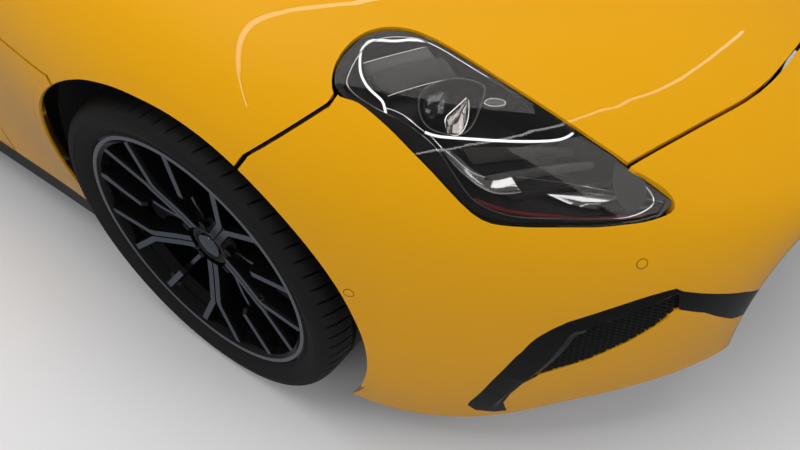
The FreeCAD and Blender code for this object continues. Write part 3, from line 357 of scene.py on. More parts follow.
def wire_profile(name, points, loop):
    """A chain of points to be spun, open or closed."""
    obj = outline(name, points, "NOTHING")
    if not loop:
        made = bmesh.new()
        made.from_mesh(obj.data)
        made.verts.ensure_lookup_table()
        last = made.edges.get((made.verts[0], made.verts[len(points) - 1]))
        made.edges.remove(last)
        made.to_mesh(obj.data)
        made.free()
    return obj


def spun(name, points, axis, steps, loop):
    """Turns a chain of points round an axis through the origin into a closed ring."""
    obj = wire_profile(name, points, loop)
    editing(obj)
    bpy.ops.mesh.spin(steps=steps, angle=2 * math.pi, center=(0, 0, 0), axis=axis)
    return closed(done(obj))


def turned(name, profile, steps, loop=False):
    """A ring or a knob about an upright axis, from an outline of (radius, height)."""
    return spun(name, [(r, 0, z) for r, z in profile], (0, 0, 1), steps, loop)


def tube(name, points, radius, closed_loop=False, sides=2):
    """A round cord along a smooth line."""
    curve = bpy.data.curves.new(name, "CURVE")
    curve.dimensions = "3D"
    curve.resolution_u = 6
    curve.bevel_depth = radius
    curve.bevel_resolution = sides
    curve.use_fill_caps = True
    line = curve.splines.new("NURBS")
    line.points.add(len(points) - 1)
    for knot, point in zip(line.points, points):
        knot.co = (*point, 1)
    line.order_u = 3
    line.use_endpoint_u = not closed_loop
    line.use_cyclic_u = closed_loop
    obj = bpy.data.objects.new(name, curve)
    bpy.context.scene.collection.objects.link(obj)
    alone(obj)
    bpy.ops.object.convert(target="MESH")
    return named(name)


def joined(name, parts):
    """Joins objects into one piece."""
    if len(parts) > 1:
        clear_choice()
        for item in parts:
            item.select_set(True)
        bpy.context.view_layer.objects.active = parts[0]
        bpy.ops.object.join()
    parts[0].name = name
    parts[0].data.name = name
    return parts[0]


def copied(obj, name, change=None, flip=False):
    """A copy with a mesh of its own, moved by a matrix."""
    twin = obj.copy()
    twin.data = obj.data.copy()
    twin.name = name
    twin.data.name = name
    for group in list(twin.users_collection):
        group.objects.unlink(twin)
    bpy.context.scene.collection.objects.link(twin)
    twin.parent = None
    for key in list(twin.keys()):
        del twin[key]
    if change is not None:
        twin.data.transform(change)
    if flip:
        twin.data.flip_normals()
    return twin


def mirrored(obj, name):
    """The left-hand twin of a right-hand piece."""
    return copied(obj, name, LEFTWARDS, flip=True)


def node_copy(node, name):
    """A welded copy of a frame node's mesh."""
    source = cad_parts[node]
    twin = copied(source, name, source.matrix_world.copy())
    twin.matrix_world = Matrix.Identity(4)
    twin.hide_render = False
    editing(twin)
    bpy.ops.mesh.remove_doubles(threshold=MERGE)
    return done(twin)


def dressed(obj, *labels):
    """Gives an object its finishes, in the order of their slots."""
    obj.data.materials.clear()
    for label in labels:
        obj.data.materials.append(finish(label))
    return obj


def finished(obj, finish_name, body, slot, replaces=()):
    """Gives a piece its finish and its body, and hides the frame nodes that it stands for; the slot
    is not used.
    """
    if finish_name:
        dressed(obj, finish_name)
    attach(obj, body)
    if replaces:
        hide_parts(*replaces)


def both_sides(piece, base, finish_name, body, slot, node=None):
    """Makes a right-hand piece's left-hand twin, names both and finishes both."""
    twin = mirrored(piece, base + "_left")
    piece.name = piece.data.name = base + "_right"
    for item, side in ((piece, "_right"), (twin, "_left")):
        rides = body + side if body == "door" else body
        finished(item, finish_name, rides, slot, [node + side] if node else [])
    return piece, twin


def ring_line(points, count, loop=True):
    """Even points along a smooth line through some corners."""
    points = [Vector(p) for p in points]
    total = len(points)
    spans = total if loop else total - 1
    dense = []
    for k in range(spans):
        near = [(k + s) % total if loop else min(max(k + s, 0), total - 1)
                for s in (-1, 0, 1, 2)]
        a, b, c, d = (points[place] for place in near)
        for step in range(12):
            t = step / 12
            dense.append(0.5 * (2 * b + (c - a) * t + (2 * a - 5 * b + 4 * c - d) * t * t
                                + (3 * b - a - 3 * c + d) * t ** 3))
    dense.append(points[0] if loop else points[-1])
    reach = [0.0]
    for a, b in zip(dense, dense[1:]):
        reach.append(reach[-1] + (b - a).length)
    stops = [reach[-1] * k / (count if loop else count - 1) for k in range(count)]
    picked, k = [], 0
    for stop in stops:
        while k < len(reach) - 2 and reach[k + 1] < stop:
            k += 1
        share = (stop - reach[k]) / max(reach[k + 1] - reach[k], 1e-9)
        picked.append(dense[k].lerp(dense[k + 1], min(share, 1)))
    return picked


def lofted(name, sections):
    """A solid drawn through sections: its first face extruded and shaped, section by section."""
    obj = outline(name, sections[0])
    before = [Vector(p) for p in sections[0]]
    editing(obj)
    for section in sections[1:]:
        bpy.ops.mesh.extrude_region_move()
        bpy.ops.object.mode_set(mode="OBJECT")
        moved = [vertex for vertex in obj.data.vertices if vertex.select]
        for vertex in moved:
            place = vertex.co.copy()
            nearest = min(range(len(before)), key=lambda k: (before[k] - place).length_squared)
            vertex.co = Vector(section[nearest])
        before = [Vector(p) for p in section]
        bpy.ops.object.mode_set(mode="EDIT")
    return faced_out(obj)


def sheeted(name, rows, wall):
    """A sheet through closed rings of points, its upper side kept and its wall below."""
    count = len(rows[0])
    points = [Vector(p) for row in rows for p in row]
    faces = []
    for i in range(len(rows) - 1):
        for j in range(count):
            a, b = i * count + j, i * count + (j + 1) % count
            faces.append((a, b, b + count, a + count))
    mesh = bpy.data.meshes.new(name)
    mesh.from_pydata(points, [], faces)
    obj = bpy.data.objects.new(name, mesh)
    bpy.context.scene.collection.objects.link(obj)
    closed(obj)
    if sum(p.normal.z * p.area for p in obj.data.polygons) < 0:
        obj.data.flip_normals()
    return modified(obj, "SOLIDIFY", thickness=wall, offset=-1, use_even_offset=False)


# Finishes

def placed(tree, kind, x, y, **settings):
    """Adds a node at a place in the tree."""
    node = tree.nodes.new(kind)
    node.location = (x, y)
    for key, value in settings.items():
        setattr(node, key, value)
    return node


def link(source, output, target, entry):
    """Joins an output of one node to an input of another."""
    source.id_data.links.new(source.outputs[output], target.inputs[entry])


def new_group(name, inputs, outputs):
    """A node group with its named sockets."""
    tree = bpy.data.node_groups.new(name, "ShaderNodeTree")
    for label, kind, value in inputs:
        socket = tree.interface.new_socket(label, in_out="INPUT", socket_type=kind)
        socket.default_value = value
    for label, kind in outputs:
        tree.interface.new_socket(label, in_out="OUTPUT", socket_type=kind)
    return tree, placed(tree, "NodeGroupInput", -1100, 0), placed(tree, "NodeGroupOutput", 700, 0)


def mottle_group():
    """A colour and a roughness that drift over the surface, and a fine grain."""
    tree, source, sink = new_group(
        "Mottle",
        [("Colour", "NodeSocketColor", (0.5, 0.5, 0.5, 1)), ("Drift", "NodeSocketFloat", 0.1),
         ("Roughness", "NodeSocketFloat", 0.5), ("Uneven", "NodeSocketFloat", 0.1),
         ("Cloud scale", "NodeSocketFloat", 9.0), ("Grain scale", "NodeSocketFloat", 400.0)],
        [("Colour", "NodeSocketColor"), ("Roughness", "NodeSocketFloat"),
         ("Grain", "NodeSocketFloat")])
    place = placed(tree, "ShaderNodeTexCoord", -1100, -300)
    cloud = placed(tree, "ShaderNodeTexNoise", -800, 200)
    cloud.inputs["Detail"].default_value = 5.0
    grain = placed(tree, "ShaderNodeTexNoise", -800, -200)
    grain.inputs["Detail"].default_value = 3.0
    for texture, scale in ((cloud, "Cloud scale"), (grain, "Grain scale")):
        link(place, "Object", texture, "Vector")
        link(source, scale, texture, "Scale")
    centred = placed(tree, "ShaderNodeMath", -550, 200, operation="SUBTRACT")
    centred.inputs[1].default_value = 0.5
    link(cloud, "Fac", centred, 0)
    shade = placed(tree, "ShaderNodeMath", -300, 300, operation="MULTIPLY_ADD")
    shade.inputs[2].default_value = 1.0
    link(centred, 0, shade, 0)
    link(source, "Drift", shade, 1)
    tint = placed(tree, "ShaderNodeVectorMath", -50, 300, operation="SCALE")
    link(source, "Colour", tint, 0)
    link(shade, 0, tint, "Scale")
    link(tint, 0, sink, "Colour")
    rough = placed(tree, "ShaderNodeMath", -50, 0, operation="MULTIPLY_ADD", use_clamp=True)
    link(centred, 0, rough, 0)
    link(source, "Uneven", rough, 1)
    link(source, "Roughness", rough, 2)
    link(rough, 0, sink, "Roughness")
    link(grain, "Fac", sink, "Grain")
    return tree


def pebble_group():
    """Leather's or soft trim's rounded pebbles with creases between them."""
    tree, source, sink = new_group(
        "Pebbles", [("Scale", "NodeSocketFloat", 600.0)], [("Height", "NodeSocketFloat")])
    place = placed(tree, "ShaderNodeTexCoord", -1100, -300)
    cells = placed(tree, "ShaderNodeTexVoronoi", -700, 100, feature="SMOOTH_F1")
    creases = placed(tree, "ShaderNodeTexNoise", -700, -200)
    creases.inputs["Detail"].default_value = 4.0
    for texture in (cells, creases):
        link(place, "Object", texture, "Vector")
        link(source, "Scale", texture, "Scale")
    height = placed(tree, "ShaderNodeMath", 0, 0, operation="SUBTRACT")
    link(creases, "Fac", height, 0)
    link(cells, "Distance", height, 1)
    link(height, 0, sink, "Height")
    return tree


GROUP_MAKERS = {"mottle": mottle_group, "pebbles": pebble_group}
GROUPS = {}


def shared(kind):
    """A shared node group, built once."""
    if kind not in GROUPS:
        GROUPS[kind] = GROUP_MAKERS[kind]()
    return GROUPS[kind]


def surface(name, colour, roughness, metallic=0.0, drift=0.12, uneven=0.1, cloud=9.0,
            grain=400.0, relief=0.0002, strength=0.5, pebbled=False, **sockets):
    """A Principled finish whose colour, gloss and relief vary by node groups."""
    made = bpy.data.materials.new(name)
    made.use_nodes = True
    made.diffuse_color = (*colour, 1)
    tree = made.node_tree
    shader = tree.nodes["Principled BSDF"]
    mottle = placed(tree, "ShaderNodeGroup", -600, 100, node_tree=shared("mottle"))
    for label, value in (("Colour", (*colour, 1)), ("Drift", drift), ("Roughness", roughness),
                         ("Uneven", uneven), ("Cloud scale", cloud), ("Grain scale", grain)):
        mottle.inputs[label].default_value = value
    link(mottle, "Colour", shader, "Base Color")
    link(mottle, "Roughness", shader, "Roughness")
    shader.inputs["Metallic"].default_value = metallic
    bump = placed(tree, "ShaderNodeBump", -250, -200)
    bump.inputs["Strength"].default_value = strength
    bump.inputs["Distance"].default_value = relief
    if pebbled:
        pebbles = placed(tree, "ShaderNodeGroup", -600, -300, node_tree=shared("pebbles"))
        pebbles.inputs["Scale"].default_value = grain
        link(pebbles, "Height", bump, "Height")
    else:
        link(mottle, "Grain", bump, "Height")
    link(bump, "Normal", shader, "Normal")
    for label, value in sockets.items():
        shader.inputs[label.replace("_", " ")].default_value = value
    return made


def blended(tree, share, output, first, second, sink):
    """Mixes two shaders by a node's output and gives the result to the tree's end."""
    mix = placed(tree, "ShaderNodeMixShader", 500, 200)
    link(share, output, mix, "Fac")
    link(first, 0, mix, 1)
    link(second, 0, mix, 2)
    link(mix, 0, sink, "Surface")


def clear(made):
    """Lets the lamps' light pass a glass finish, so that what lies behind it is lit."""
    tree = made.node_tree
    ray = placed(tree, "ShaderNodeLightPath", 100, 400)
    through = placed(tree, "ShaderNodeBsdfTransparent", 300, -200)
    through.inputs["Color"].default_value = made.diffuse_color
    blended(tree, ray, "Is Shadow Ray", tree.nodes["Principled BSDF"], through,
            tree.nodes["Material Output"])


def lit(made, strength):
    """Makes a finish glow in its own colour, a little uneven along its length."""
    shader = made.node_tree.nodes["Principled BSDF"]
    link(made.node_tree.nodes["Group"], "Colour", shader, "Emission Color")
    shader.inputs["Emission Strength"].default_value = strength


# Each finish: its name, its colour and roughness (or the setting that holds them), and the rest.
FINISH_TABLE = {
    "paint": ("Body paint", "paint", "paint_roughness", dict(
        drift=0.04, uneven=0.05, cloud=3.0, grain=1500, relief=0.000004, strength=0.15,
        Coat_Weight=1.0, Coat_Roughness=0.01, Coat_IOR=1.42, Specular_IOR_Level=0.1)),
    "gloss_black": ("Gloss black", (0.004, 0.004, 0.0045), 0.08, dict(
        uneven=0.05, grain=900, relief=0.00002, Specular_IOR_Level=0.3)),
    "moulded": ("Moulded black plastic", (0.02, 0.02, 0.022), 0.52, dict(
        grain=1600, relief=0.00015)),
    "mesh_black": ("Intake mesh plastic", (0.012, 0.012, 0.013), 0.38, dict(
        grain=1200, relief=0.0001)),
    "seal": ("Rubber seal", (0.01, 0.01, 0.01), 0.55, dict(grain=900, relief=0.0001)),
    "window": ("Tinted window glass", (0.42, 0.47, 0.46), 0.0, dict(
        drift=0.02, uneven=0.0, cloud=1.5, grain=2.0, relief=0.00002, strength=0.1,
        Transmission_Weight=1.0, IOR=1.45)),
    "lens": ("Clear lamp lens", (0.80, 0.78, 0.76), 0.0, dict(
        drift=0.02, uneven=0.0, cloud=2.0, grain=3.0, relief=0.00002, strength=0.1,
        Transmission_Weight=1.0, IOR=1.08, Coat_Weight=0.7, Coat_Roughness=0.01)),
    "red_lens": ("Red lamp lens", (0.32, 0.003, 0.004), 0.06, dict(
        grain=300, relief=0.00005, Coat_Weight=1.0, Coat_Roughness=0.02)),
    "tyre": ("Tyre rubber", (0.010, 0.010, 0.0105), 0.55, dict(
        drift=0.3, uneven=0.2, grain=1500, relief=0.0003, Specular_IOR_Level=0.35)),
    "machined": ("Machined dark alloy", "machined", 0.24, dict(
        metallic=1.0, drift=0.08, uneven=0.08, grain=2500, relief=0.00002)),
    "rim_lip": ("Bright rim edge", (0.50, 0.51, 0.56), 0.16, dict(
        metallic=1.0, drift=0.08, grain=2500, relief=0.00002)),
    "arms": ("Cast steel arms", (0.10, 0.10, 0.11), 0.5, dict(
        metallic=0.8, drift=0.3, grain=500, relief=0.0003)),
    "disc": ("Brake disc iron", (0.30, 0.30, 0.31), 0.32, dict(
        metallic=1.0, drift=0.15, grain=900, relief=0.00005)),
    "bright": ("Polished steel", (0.58, 0.58, 0.60), 0.14, dict(
        metallic=1.0, grain=1500, relief=0.00003)),
    "engine": ("Cast engine alloy", (0.25, 0.26, 0.28), 0.5, dict(
        metallic=0.8, drift=0.3, grain=300, relief=0.0006)),
    "floor_pan": ("Coated floor pan", (0.02, 0.02, 0.022), 0.7, dict(
        drift=0.3, grain=250, relief=0.0006)),
    "leather": ("Black leather", (0.022, 0.02, 0.02), 0.42, dict(
        grain=900, relief=0.0004, pebbled=True)),
    "thread": ("Seam thread", (0.35, 0.30, 0.22), 0.6, dict(
        drift=0.4, grain=3000, relief=0.0002)),
    "soft_trim": ("Soft cabin trim", (0.028, 0.028, 0.03), 0.6, dict(
        grain=1300, relief=0.0003, pebbled=True)),
    "carpet": ("Cabin carpet", (0.018, 0.018, 0.02), 0.95, dict(
        drift=0.5, grain=900, relief=0.0015)),
    "screen": ("Dark display glass", (0.004, 0.005, 0.007), 0.06, dict(
        grain=200, relief=0.00001, Coat_Weight=1.0, Coat_Roughness=0.01)),
    "lamp_black": ("Lamp housing black", (0.0030, 0.0022, 0.0022), 0.32, dict(
        uneven=0.1, grain=800, relief=0.00003, Specular_IOR_Level=0.2)),
    "dark_red": ("Marker lens dark red", (0.07, 0.002, 0.003), 0.3, dict(
        drift=0.4, grain=300, relief=0.00005, Specular_IOR_Level=0.3)),
    "lamp_grey": ("Lamp louvre grey", (0.085, 0.084, 0.082), 0.42, dict(
        metallic=0.2, drift=0.2, grain=900, relief=0.00005)),
    "lamp_dark": ("Lamp louvre dark", (0.030, 0.028, 0.027), 0.4, dict(
        metallic=0.2, drift=0.2, grain=900, relief=0.00005)),
    "lamp_chrome": ("Lamp reflector", (0.62, 0.63, 0.65), 0.08, dict(
        metallic=1.0, grain=600, relief=0.00003)),
    "led": ("Daylight guide", (0.85, 0.88, 0.92), 0.3, dict(drift=0.2, grain=200)),
    "tail_glow": ("Tail light guide", (0.55, 0.01, 0.01), 0.3, dict(drift=0.2, grain=200)),
    "mirror_glass": ("Mirror glass", (0.75, 0.77, 0.78), 0.02, dict(
        metallic=1.0, drift=0.01, uneven=0.0, grain=3, relief=0.00001)),
}
GLASSES = ("window", "lens")
TAIL_GLOW = 0.5
FINISHES = {}


def finish(name):
    """One of the car's finishes, made at its first use."""
    if name not in FINISHES:
        settings = bpy.context.scene.coupe_finishes
        label, colour, roughness, more = FINISH_TABLE[name]
        if isinstance(colour, str):
            colour = tuple(getattr(settings, colour))
        if isinstance(roughness, str):
            roughness = getattr(settings, roughness)
        made = FINISHES[name] = surface(label, colour, roughness, **more)
        if name in GLASSES:
            clear(made)
        elif name == "led":
            lit(made, settings.led_strength)
        elif name == "tail_glow":
            lit(made, TAIL_GLOW)
    return FINISHES[name]


class CoupeFinishes(bpy.types.PropertyGroup):
    """Colours and levels of the car's finishes."""

    paint: bpy.props.FloatVectorProperty(
        name="Paint", description="Base colour of the body paint", subtype="COLOR", size=3,
        min=0, max=1, default=(0.73, 0.342, 0.0004))
    paint_roughness: bpy.props.FloatProperty(
        name="Paint roughness", description="How matt the paint is under its clear coat",
        min=0, max=1, default=0.38, subtype="FACTOR")
    machined: bpy.props.FloatVectorProperty(
        name="Machined alloy", description="Colour of the spokes' machined faces",
        subtype="COLOR", size=3, min=0, max=1, default=(0.30, 0.33, 0.40))
    led_strength: bpy.props.FloatProperty(
        name="Light guide strength", description="Glow of the daylight guides", min=0, max=10,
        default=0.72)


class CoupeSizes(bpy.types.PropertyGroup):
    """Sizes of the dressed pieces."""

    spoke_face: bpy.props.FloatProperty(
        name="Spoke line", description="Width of one machined spoke line", subtype="DISTANCE",
        min=0.004, max=0.03, default=0.0125)
    spoke_groove: bpy.props.FloatProperty(
        name="Spoke groove", description="Width of the dark groove between twin spoke lines",
        subtype="DISTANCE", min=0.001, max=0.02, default=0.0035)
    tread_pitches: bpy.props.IntProperty(
        name="Tread pitches", description="Tread blocks round a tyre", min=40, max=100,
        default=72)
    groove_depth: bpy.props.FloatProperty(
        name="Tread depth", description="Depth of the tread's grooves", subtype="DISTANCE",
        min=0.001, max=0.01, default=0.006)
    lens_wall: bpy.props.FloatProperty(
        name="Lens wall", description="Thickness of the headlamp's lens", subtype="DISTANCE",
        min=0.001, max=0.006, default=0.003)
    mesh_pitch: bpy.props.FloatProperty(
        name="Mesh pitch", description="Width of one cell of the intake mesh",
        subtype="DISTANCE", min=0.008, max=0.03, default=0.0165)
    seam_width: bpy.props.FloatProperty(
        name="Seam cord", description="Radius of the seats' seam cord", subtype="DISTANCE",
        min=0.0005, max=0.004, default=0.0016)


# Body panels

def skin_shaded(obj):
    """Takes the shading of the outer faces from the skin, so that no facet shows."""
    smooth(obj, 30)
    mesh = obj.data
    spots = []
    near = []
    for vertex in mesh.vertices:
        spot, distance = SKIN.nearest(vertex.co)
        spots.append(spot)
        near.append(distance < 0.0012)
    spots = np.array(spots)
    facing = SKIN.normal(spots[:, 0], spots[:, 1])
    normals = [tuple(corner.vector) for corner in mesh.corner_normals]
    for polygon in mesh.polygons:
        way = np.array(polygon.normal)
        corners = list(polygon.vertices)
        if all(near[k] for k in corners) and way @ facing[corners].mean(0) > 0.7:
            for loop in polygon.loop_indices:
                normals[loop] = tuple(facing[mesh.loops[loop].vertex_index])
    mesh.normals_split_custom_set(normals)
    return obj


PAINTED = [("front_bumper", "nose_skin", "car"), ("bonnet", "bonnet_skin", "bonnet"),
           ("wings", "wing_skins", "car"), ("body_shell", "shell_skin", "car"),
           ("door_right", "door_skin_right", "door_right"),
           ("door_left", "door_skin_left", "door_left"),
           ("boot_lid", "boot_skin", "boot_lid"), ("rear_bumper", "tail_skin", "car")]


class COUPE_OT_panels(bpy.types.Operator):
    """Lays the painted panels' smooth skins over the frame's panels"""
    bl_idname = "coupe.panels"
    bl_label = "Painted panels"

    def execute(self, context):
        for node, name, body in PAINTED:
            skin = skin_shaded(node_copy(node, name))
            finished(skin, "paint", body, "body_paint", [node])
        return {"FINISHED"}


CARRIED = {
    "front_grille": "gloss_black", "intake_grilles": "gloss_black",
    "front_splitter": "moulded", "sills": "moulded", "cowl": "moulded", "diffuser": "moulded",
    "windscreen": "window", "rear_window": "window", "quarter_glass": "window",
    "door_glass_right": "window", "door_glass_left": "window", "tail_lamps": "red_lens",
    "underbody": "floor_pan", "engine": "engine", "front_suspension": "arms",
    "rear_suspension": "arms", "knuckle_right": "arms", "knuckle_left": "arms",
    "exhausts": "bright", "steering_wheel": "leather", "seat_right": "leather",
    "seat_left": "leather", "rear_bench": "leather", "dashboard": "soft_trim",
    "centre_console": "soft_trim", "mirror_right": "paint", "mirror_left": "paint",
}


class COUPE_OT_carried(bpy.types.Operator):
    """Gives the frame's own pieces their finishes"""
    bl_idname = "coupe.carried"
    bl_label = "Frame finishes"

    def execute(self, context):
        for node, finish_name in CARRIED.items():
            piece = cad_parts[node]
            for place in piece.material_slots:
                place.material = finish(finish_name)
        return {"FINISHED"}


# Wheels

AXLE_WAY = (0, 1, 0)
WHEEL_SIZES = {"front": (0.254, 0.1325, 0.333, 0.190, 0.011),
               "rear": (0.2667, 0.1475, 0.355, 0.180, 0.022)}
SPOKE_COUNT = 5
FORK = 0.58
LEAN = 12


def wheel_place(end, side):
    """Where a wheel's own centre lies."""
    node = "tyre_%s_%s" % (end, side)
    return Vector([middle(node, axis) for axis in range(3)])


def ringed(name, profile, steps, loop=True):
    """A ring about the wheel's axis from an outline of (radius, width outwards)."""
    return spun(name, [(r, -w, 0) for r, w in profile], AXLE_WAY, steps, loop)


# The tyre's wall from the outer bead: metres added to the bead, share of the wall's height added
# to that, and metres in from the tyre's side
WALL_ROWS = [
    (0.0005, 0, 0.0285), (0.008, 0, 0.0195), (0.0165, 0, 0.0153), (0.0195, 0, 0.0118),
    (0.0225, 0, 0.0128), (0.0265, 0, 0.0098), (0, 0.45, 0.0052), (0, 0.56, 0.0020),
    (0, 0.60, 0.0012), (0, 0.615, 0.0002), (0, 0.635, 0.0010), (0, 0.70, 0.0006),
    (0, 0.765, 0.0022), (0, 0.80, 0.0034), (0, 0.815, 0.0028), (0, 0.86, 0.0062),
    (0, 0.905, 0.0110), (0, 0.94, 0.0170), (0, 0.968, 0.0245), (0, 0.985, 0.0330),
    (-0.0003, 1, 0.0430), (0, 1, 0.0560)]
# The barrel's outline: metres from the bead's radius, and metres from the outer side (1) or the
# inner side (-1)
BARREL_ROWS = [
    (0.016, -0.0160, 1), (0.0155, -0.0150, 1), (0.0120, -0.0138, 1), (0.0110, -0.0128, 1),
    (0.0050, -0.0128, 1), (0.0035, -0.0145, 1), (-0.0040, -0.0185, 1), (-0.0070, -0.0260, 1),
    (-0.0100, -0.0420, 1), (-0.0270, -0.0600, 1), (-0.0270, -0.1560, 1), (-0.0090, -0.1960, 1),
    (-0.0090, 0.036, -1), (0.0070, 0.0156, -1), (0.0160, 0.0156, -1), (0, 0.0274, -1),
    (0, -0.1900, 1), (-0.018, -0.150, 1), (-0.018, -0.060, 1), (0, -0.0274, 1),
    (0.008, -0.0200, 1)]


def tread_profile(bead, half, radius):
    """The tyre's cross-section, from its outer bead to its inner bead."""
    outer = [(bead + more + share * (radius - bead), half - inwards)
             for more, share, inwards in WALL_ROWS]
    groove = bpy.context.scene.coupe_sizes.groove_depth
    crown = []
    for line in (0.53, 0.2):
        at_w = line * (half - 0.02)
        crown += [(radius, at_w + 0.0065), (radius - groove, at_w + 0.0048),
                  (radius - groove, at_w - 0.0048), (radius, at_w - 0.0065)]
    whole = outer + crown
    return whole + [(r, -w) for r, w in reversed(whole)]


def tyre_mesh(name, bead, half, radius):
    """A tyre with ribs, grooves across its shoulders and fine ridges on its walls."""
    pitches = bpy.context.scene.coupe_sizes.tread_pitches
    groove = bpy.context.scene.coupe_sizes.groove_depth
    cuts = [0.0, 0.035, 0.12, 0.155, 0.43, 0.71]
    steps = pitches * len(cuts)
    tyre = ringed(name, tread_profile(bead, half, radius), steps)
    low, high = half * 0.50, half - 0.0165
    for vertex in tyre.data.vertices:
        x, y, z = vertex.co
        reach, turn = math.hypot(x, z), math.atan2(z, x) % (2 * math.pi)
        k = round(turn / (2 * math.pi) * steps)
        pitch, step = divmod(k, len(cuts))
        across = abs(y)
        sweep = 0.55 * max(0.0, (across - low) / (high - low)) * (1 if y < 0 else -1)
        turn = (pitch + cuts[step] + sweep) / pitches * 2 * math.pi
        if step in (1, 2) and low < across < high and reach > radius * 0.955:
            reach -= groove * min(1, (across - low) / 0.008, (high + 0.004 - across) / 0.012)
        vertex.co = (reach * math.cos(turn), y, reach * math.sin(turn))
    return smooth(tyre, 38)


def spoke_line(name, path, face, depth, draft):
    """A spoke's bar along a path of (x, z, width outwards), its face narrower than its foot."""
    places = [Vector((x, z)) for x, z, w in path]
    sections = []
    for k, (x, z, w) in enumerate(path):
        before = (places[k] - places[k - 1]).normalized() if k else None
        after = (places[k + 1] - places[k]).normalized() if k < len(path) - 1 else None
        way = ((before or after) + (after or before)).normalized()
        stretch = 1 / max(0.5, way.dot(after or before))
        aside = Vector((-way.y, way.x)) * stretch
        section = []
        for half_width, drop in ((-face / 2, 0), (face / 2, 0), (face / 2 + 0.001, 0.0022),
                                 (face / 2 + draft, depth), (-face / 2 - draft, depth),
                                 (-face / 2 - 0.001, 0.0022)):
            spot = places[k] + aside * half_width
            section.append((spot.x, -(w - drop), spot.y))
        sections.append(section)
    return lofted(name, sections)


def on_wheel(radius, degrees, aside=0.0):
    """A place in the wheel's plane, moved sideways from a radial line."""
    a = math.radians(degrees)
    return (radius * math.cos(a) - aside * math.sin(a), radius * math.sin(a) + aside * math.cos(a))


def spoke_sector(bead, half):
    """One fifth of the spokes: a twin line that forks, and a short one beside it."""
    sizes = bpy.context.scene.coupe_sizes
    face, groove = sizes.spoke_face, sizes.spoke_groove
    top, fork, rim = half - 0.0175, FORK * bead, bead + 0.004
    dip = half - 0.046
    down = -90
    parts = []
    for side in (-1, 1):
        aside = side * (face + groove) / 2
        end = on_wheel(rim, down + side * LEAN, 0)
        path = [(*on_wheel(0.046, down, aside), dip), (*on_wheel(0.085, down, aside), dip + 0.006),
                (*on_wheel(fork, down, aside), top - 0.010),
                (*on_wheel(fork + 0.012, down, aside * 1.12), top - 0.009), (*end, top)]
        parts.append(spoke_line("spoke_line", path, face, 0.034, 0.004))
    path = [(*on_wheel(0.05, down), dip - 0.0035), (*on_wheel(fork + 0.006, down), top - 0.0135)]
    parts.append(spoke_line("spoke_web", path, face, 0.040, 0.012))
    beside = down + 180 / SPOKE_COUNT
    path = [(*on_wheel(fork - 0.004, beside), top - 0.016),
            (*on_wheel(fork + 0.004, beside), top - 0.007), (*on_wheel(rim, beside), top)]
    parts.append(spoke_line("spoke_short", path, face, 0.034, 0.004))
    path = [(*on_wheel(0.05, beside), dip - 0.016), (*on_wheel(fork * 0.8, beside), top - 0.030),
            (*on_wheel(fork + 0.02, beside), top - 0.024)]
    parts.append(spoke_line("spoke_root", path, 0.008, 0.030, 0.004))
    return parts


def hub_parts(half):
    """The hub's dish, its blank cap and five wheel bolts."""
    dip = half - 0.046
    dish = ringed("hub_dish", [(0.0, dip - 0.008), (0.030, dip - 0.008), (0.034, dip - 0.005),
                               (0.042, dip - 0.0045), (0.048, dip - 0.009), (0.070, dip - 0.013),
                               (0.074, dip - 0.018), (0.074, dip - 0.042), (0.0, dip - 0.042)],
                  60, loop=False)
    cap = ringed("hub_cap", [(0.0, dip + 0.0015), (0.012, dip + 0.0012), (0.022, dip - 0.0005),
                             (0.0265, dip - 0.0025), (0.0280, dip - 0.0060),
                             (0.0280, dip - 0.010), (0.0, dip - 0.010)], 48, loop=False)
    bolts = []
    for k in range(SPOKE_COUNT):
        x, z = on_wheel(0.058, -90 + 36 + 72 * k)
        clear_choice()
        bpy.ops.mesh.primitive_cylinder_add(vertices=6, radius=0.0098, depth=0.016,
                                            location=(x, -(dip - 0.010), z),
                                            rotation=(math.pi / 2, 0, 0))
        bolts.append(bevelled(settled(named("wheel_bolt")), 0.0012))
    return dish, cap, bolts


def rim_mesh(name, bead, half):
    """An alloy wheel: barrel, machined edge, forked spokes, hub, cap and bolts."""
    barrel = ringed("barrel", [(bead + more, side * half + away)
                               for more, away, side in BARREL_ROWS], 120)
    smooth(barrel, 30)
    dressed(barrel, "gloss_black", "machined", "rim_lip")
    for polygon in barrel.data.polygons:
        reach = math.hypot(polygon.center.x, polygon.center.z)
        if polygon.normal.y < -0.6 and bead + 0.003 < reach < bead + 0.0125:
            polygon.material_index = 2
    sector = dressed(joined("spokes", spoke_sector(bead, half)), "gloss_black", "machined")
    front = half - 0.075
    for polygon in sector.data.polygons:
        bright = polygon.normal.y < -0.93 and -polygon.center.y > front
        polygon.material_index = int(bright)
    sector = smooth(sector, 20)
    turns = [copied(sector, "spokes", Matrix.Rotation(math.radians(360 / SPOKE_COUNT * k), 4, "Y"))
             for k in range(1, SPOKE_COUNT)]
    dish, cap, bolts = hub_parts(half)
    for part, label in ((dish, "gloss_black"), (cap, "machined"),
                        *((bolt, "gloss_black") for bolt in bolts)):
        smooth(dressed(part, label), 30)
    return joined(name, [barrel, sector, *turns, dish, cap, *bolts])


def disc_mesh(name, half, disc_radius, offset):
    """A vented brake disc with its hat."""
    wall = 0.017
    face, back = offset + wall, offset - wall
    hat_top = half - 0.0945
    return smooth(ringed(name, [
        (0.034, hat_top), (0.082, hat_top), (0.088, hat_top - 0.006), (0.088, face + 0.004),
        (0.096, face), (disc_radius - 0.001, face), (disc_radius, face - 0.001),
        (disc_radius, offset + 0.006), (disc_radius - 0.014, offset + 0.005),
        (disc_radius - 0.014, offset - 0.005), (disc_radius, offset - 0.006),
        (disc_radius, back + 0.001), (disc_radius - 0.001, back), (0.090, back),
        (0.080, face), (0.080, hat_top - 0.008), (0.034, hat_top - 0.008)], 96), 30)


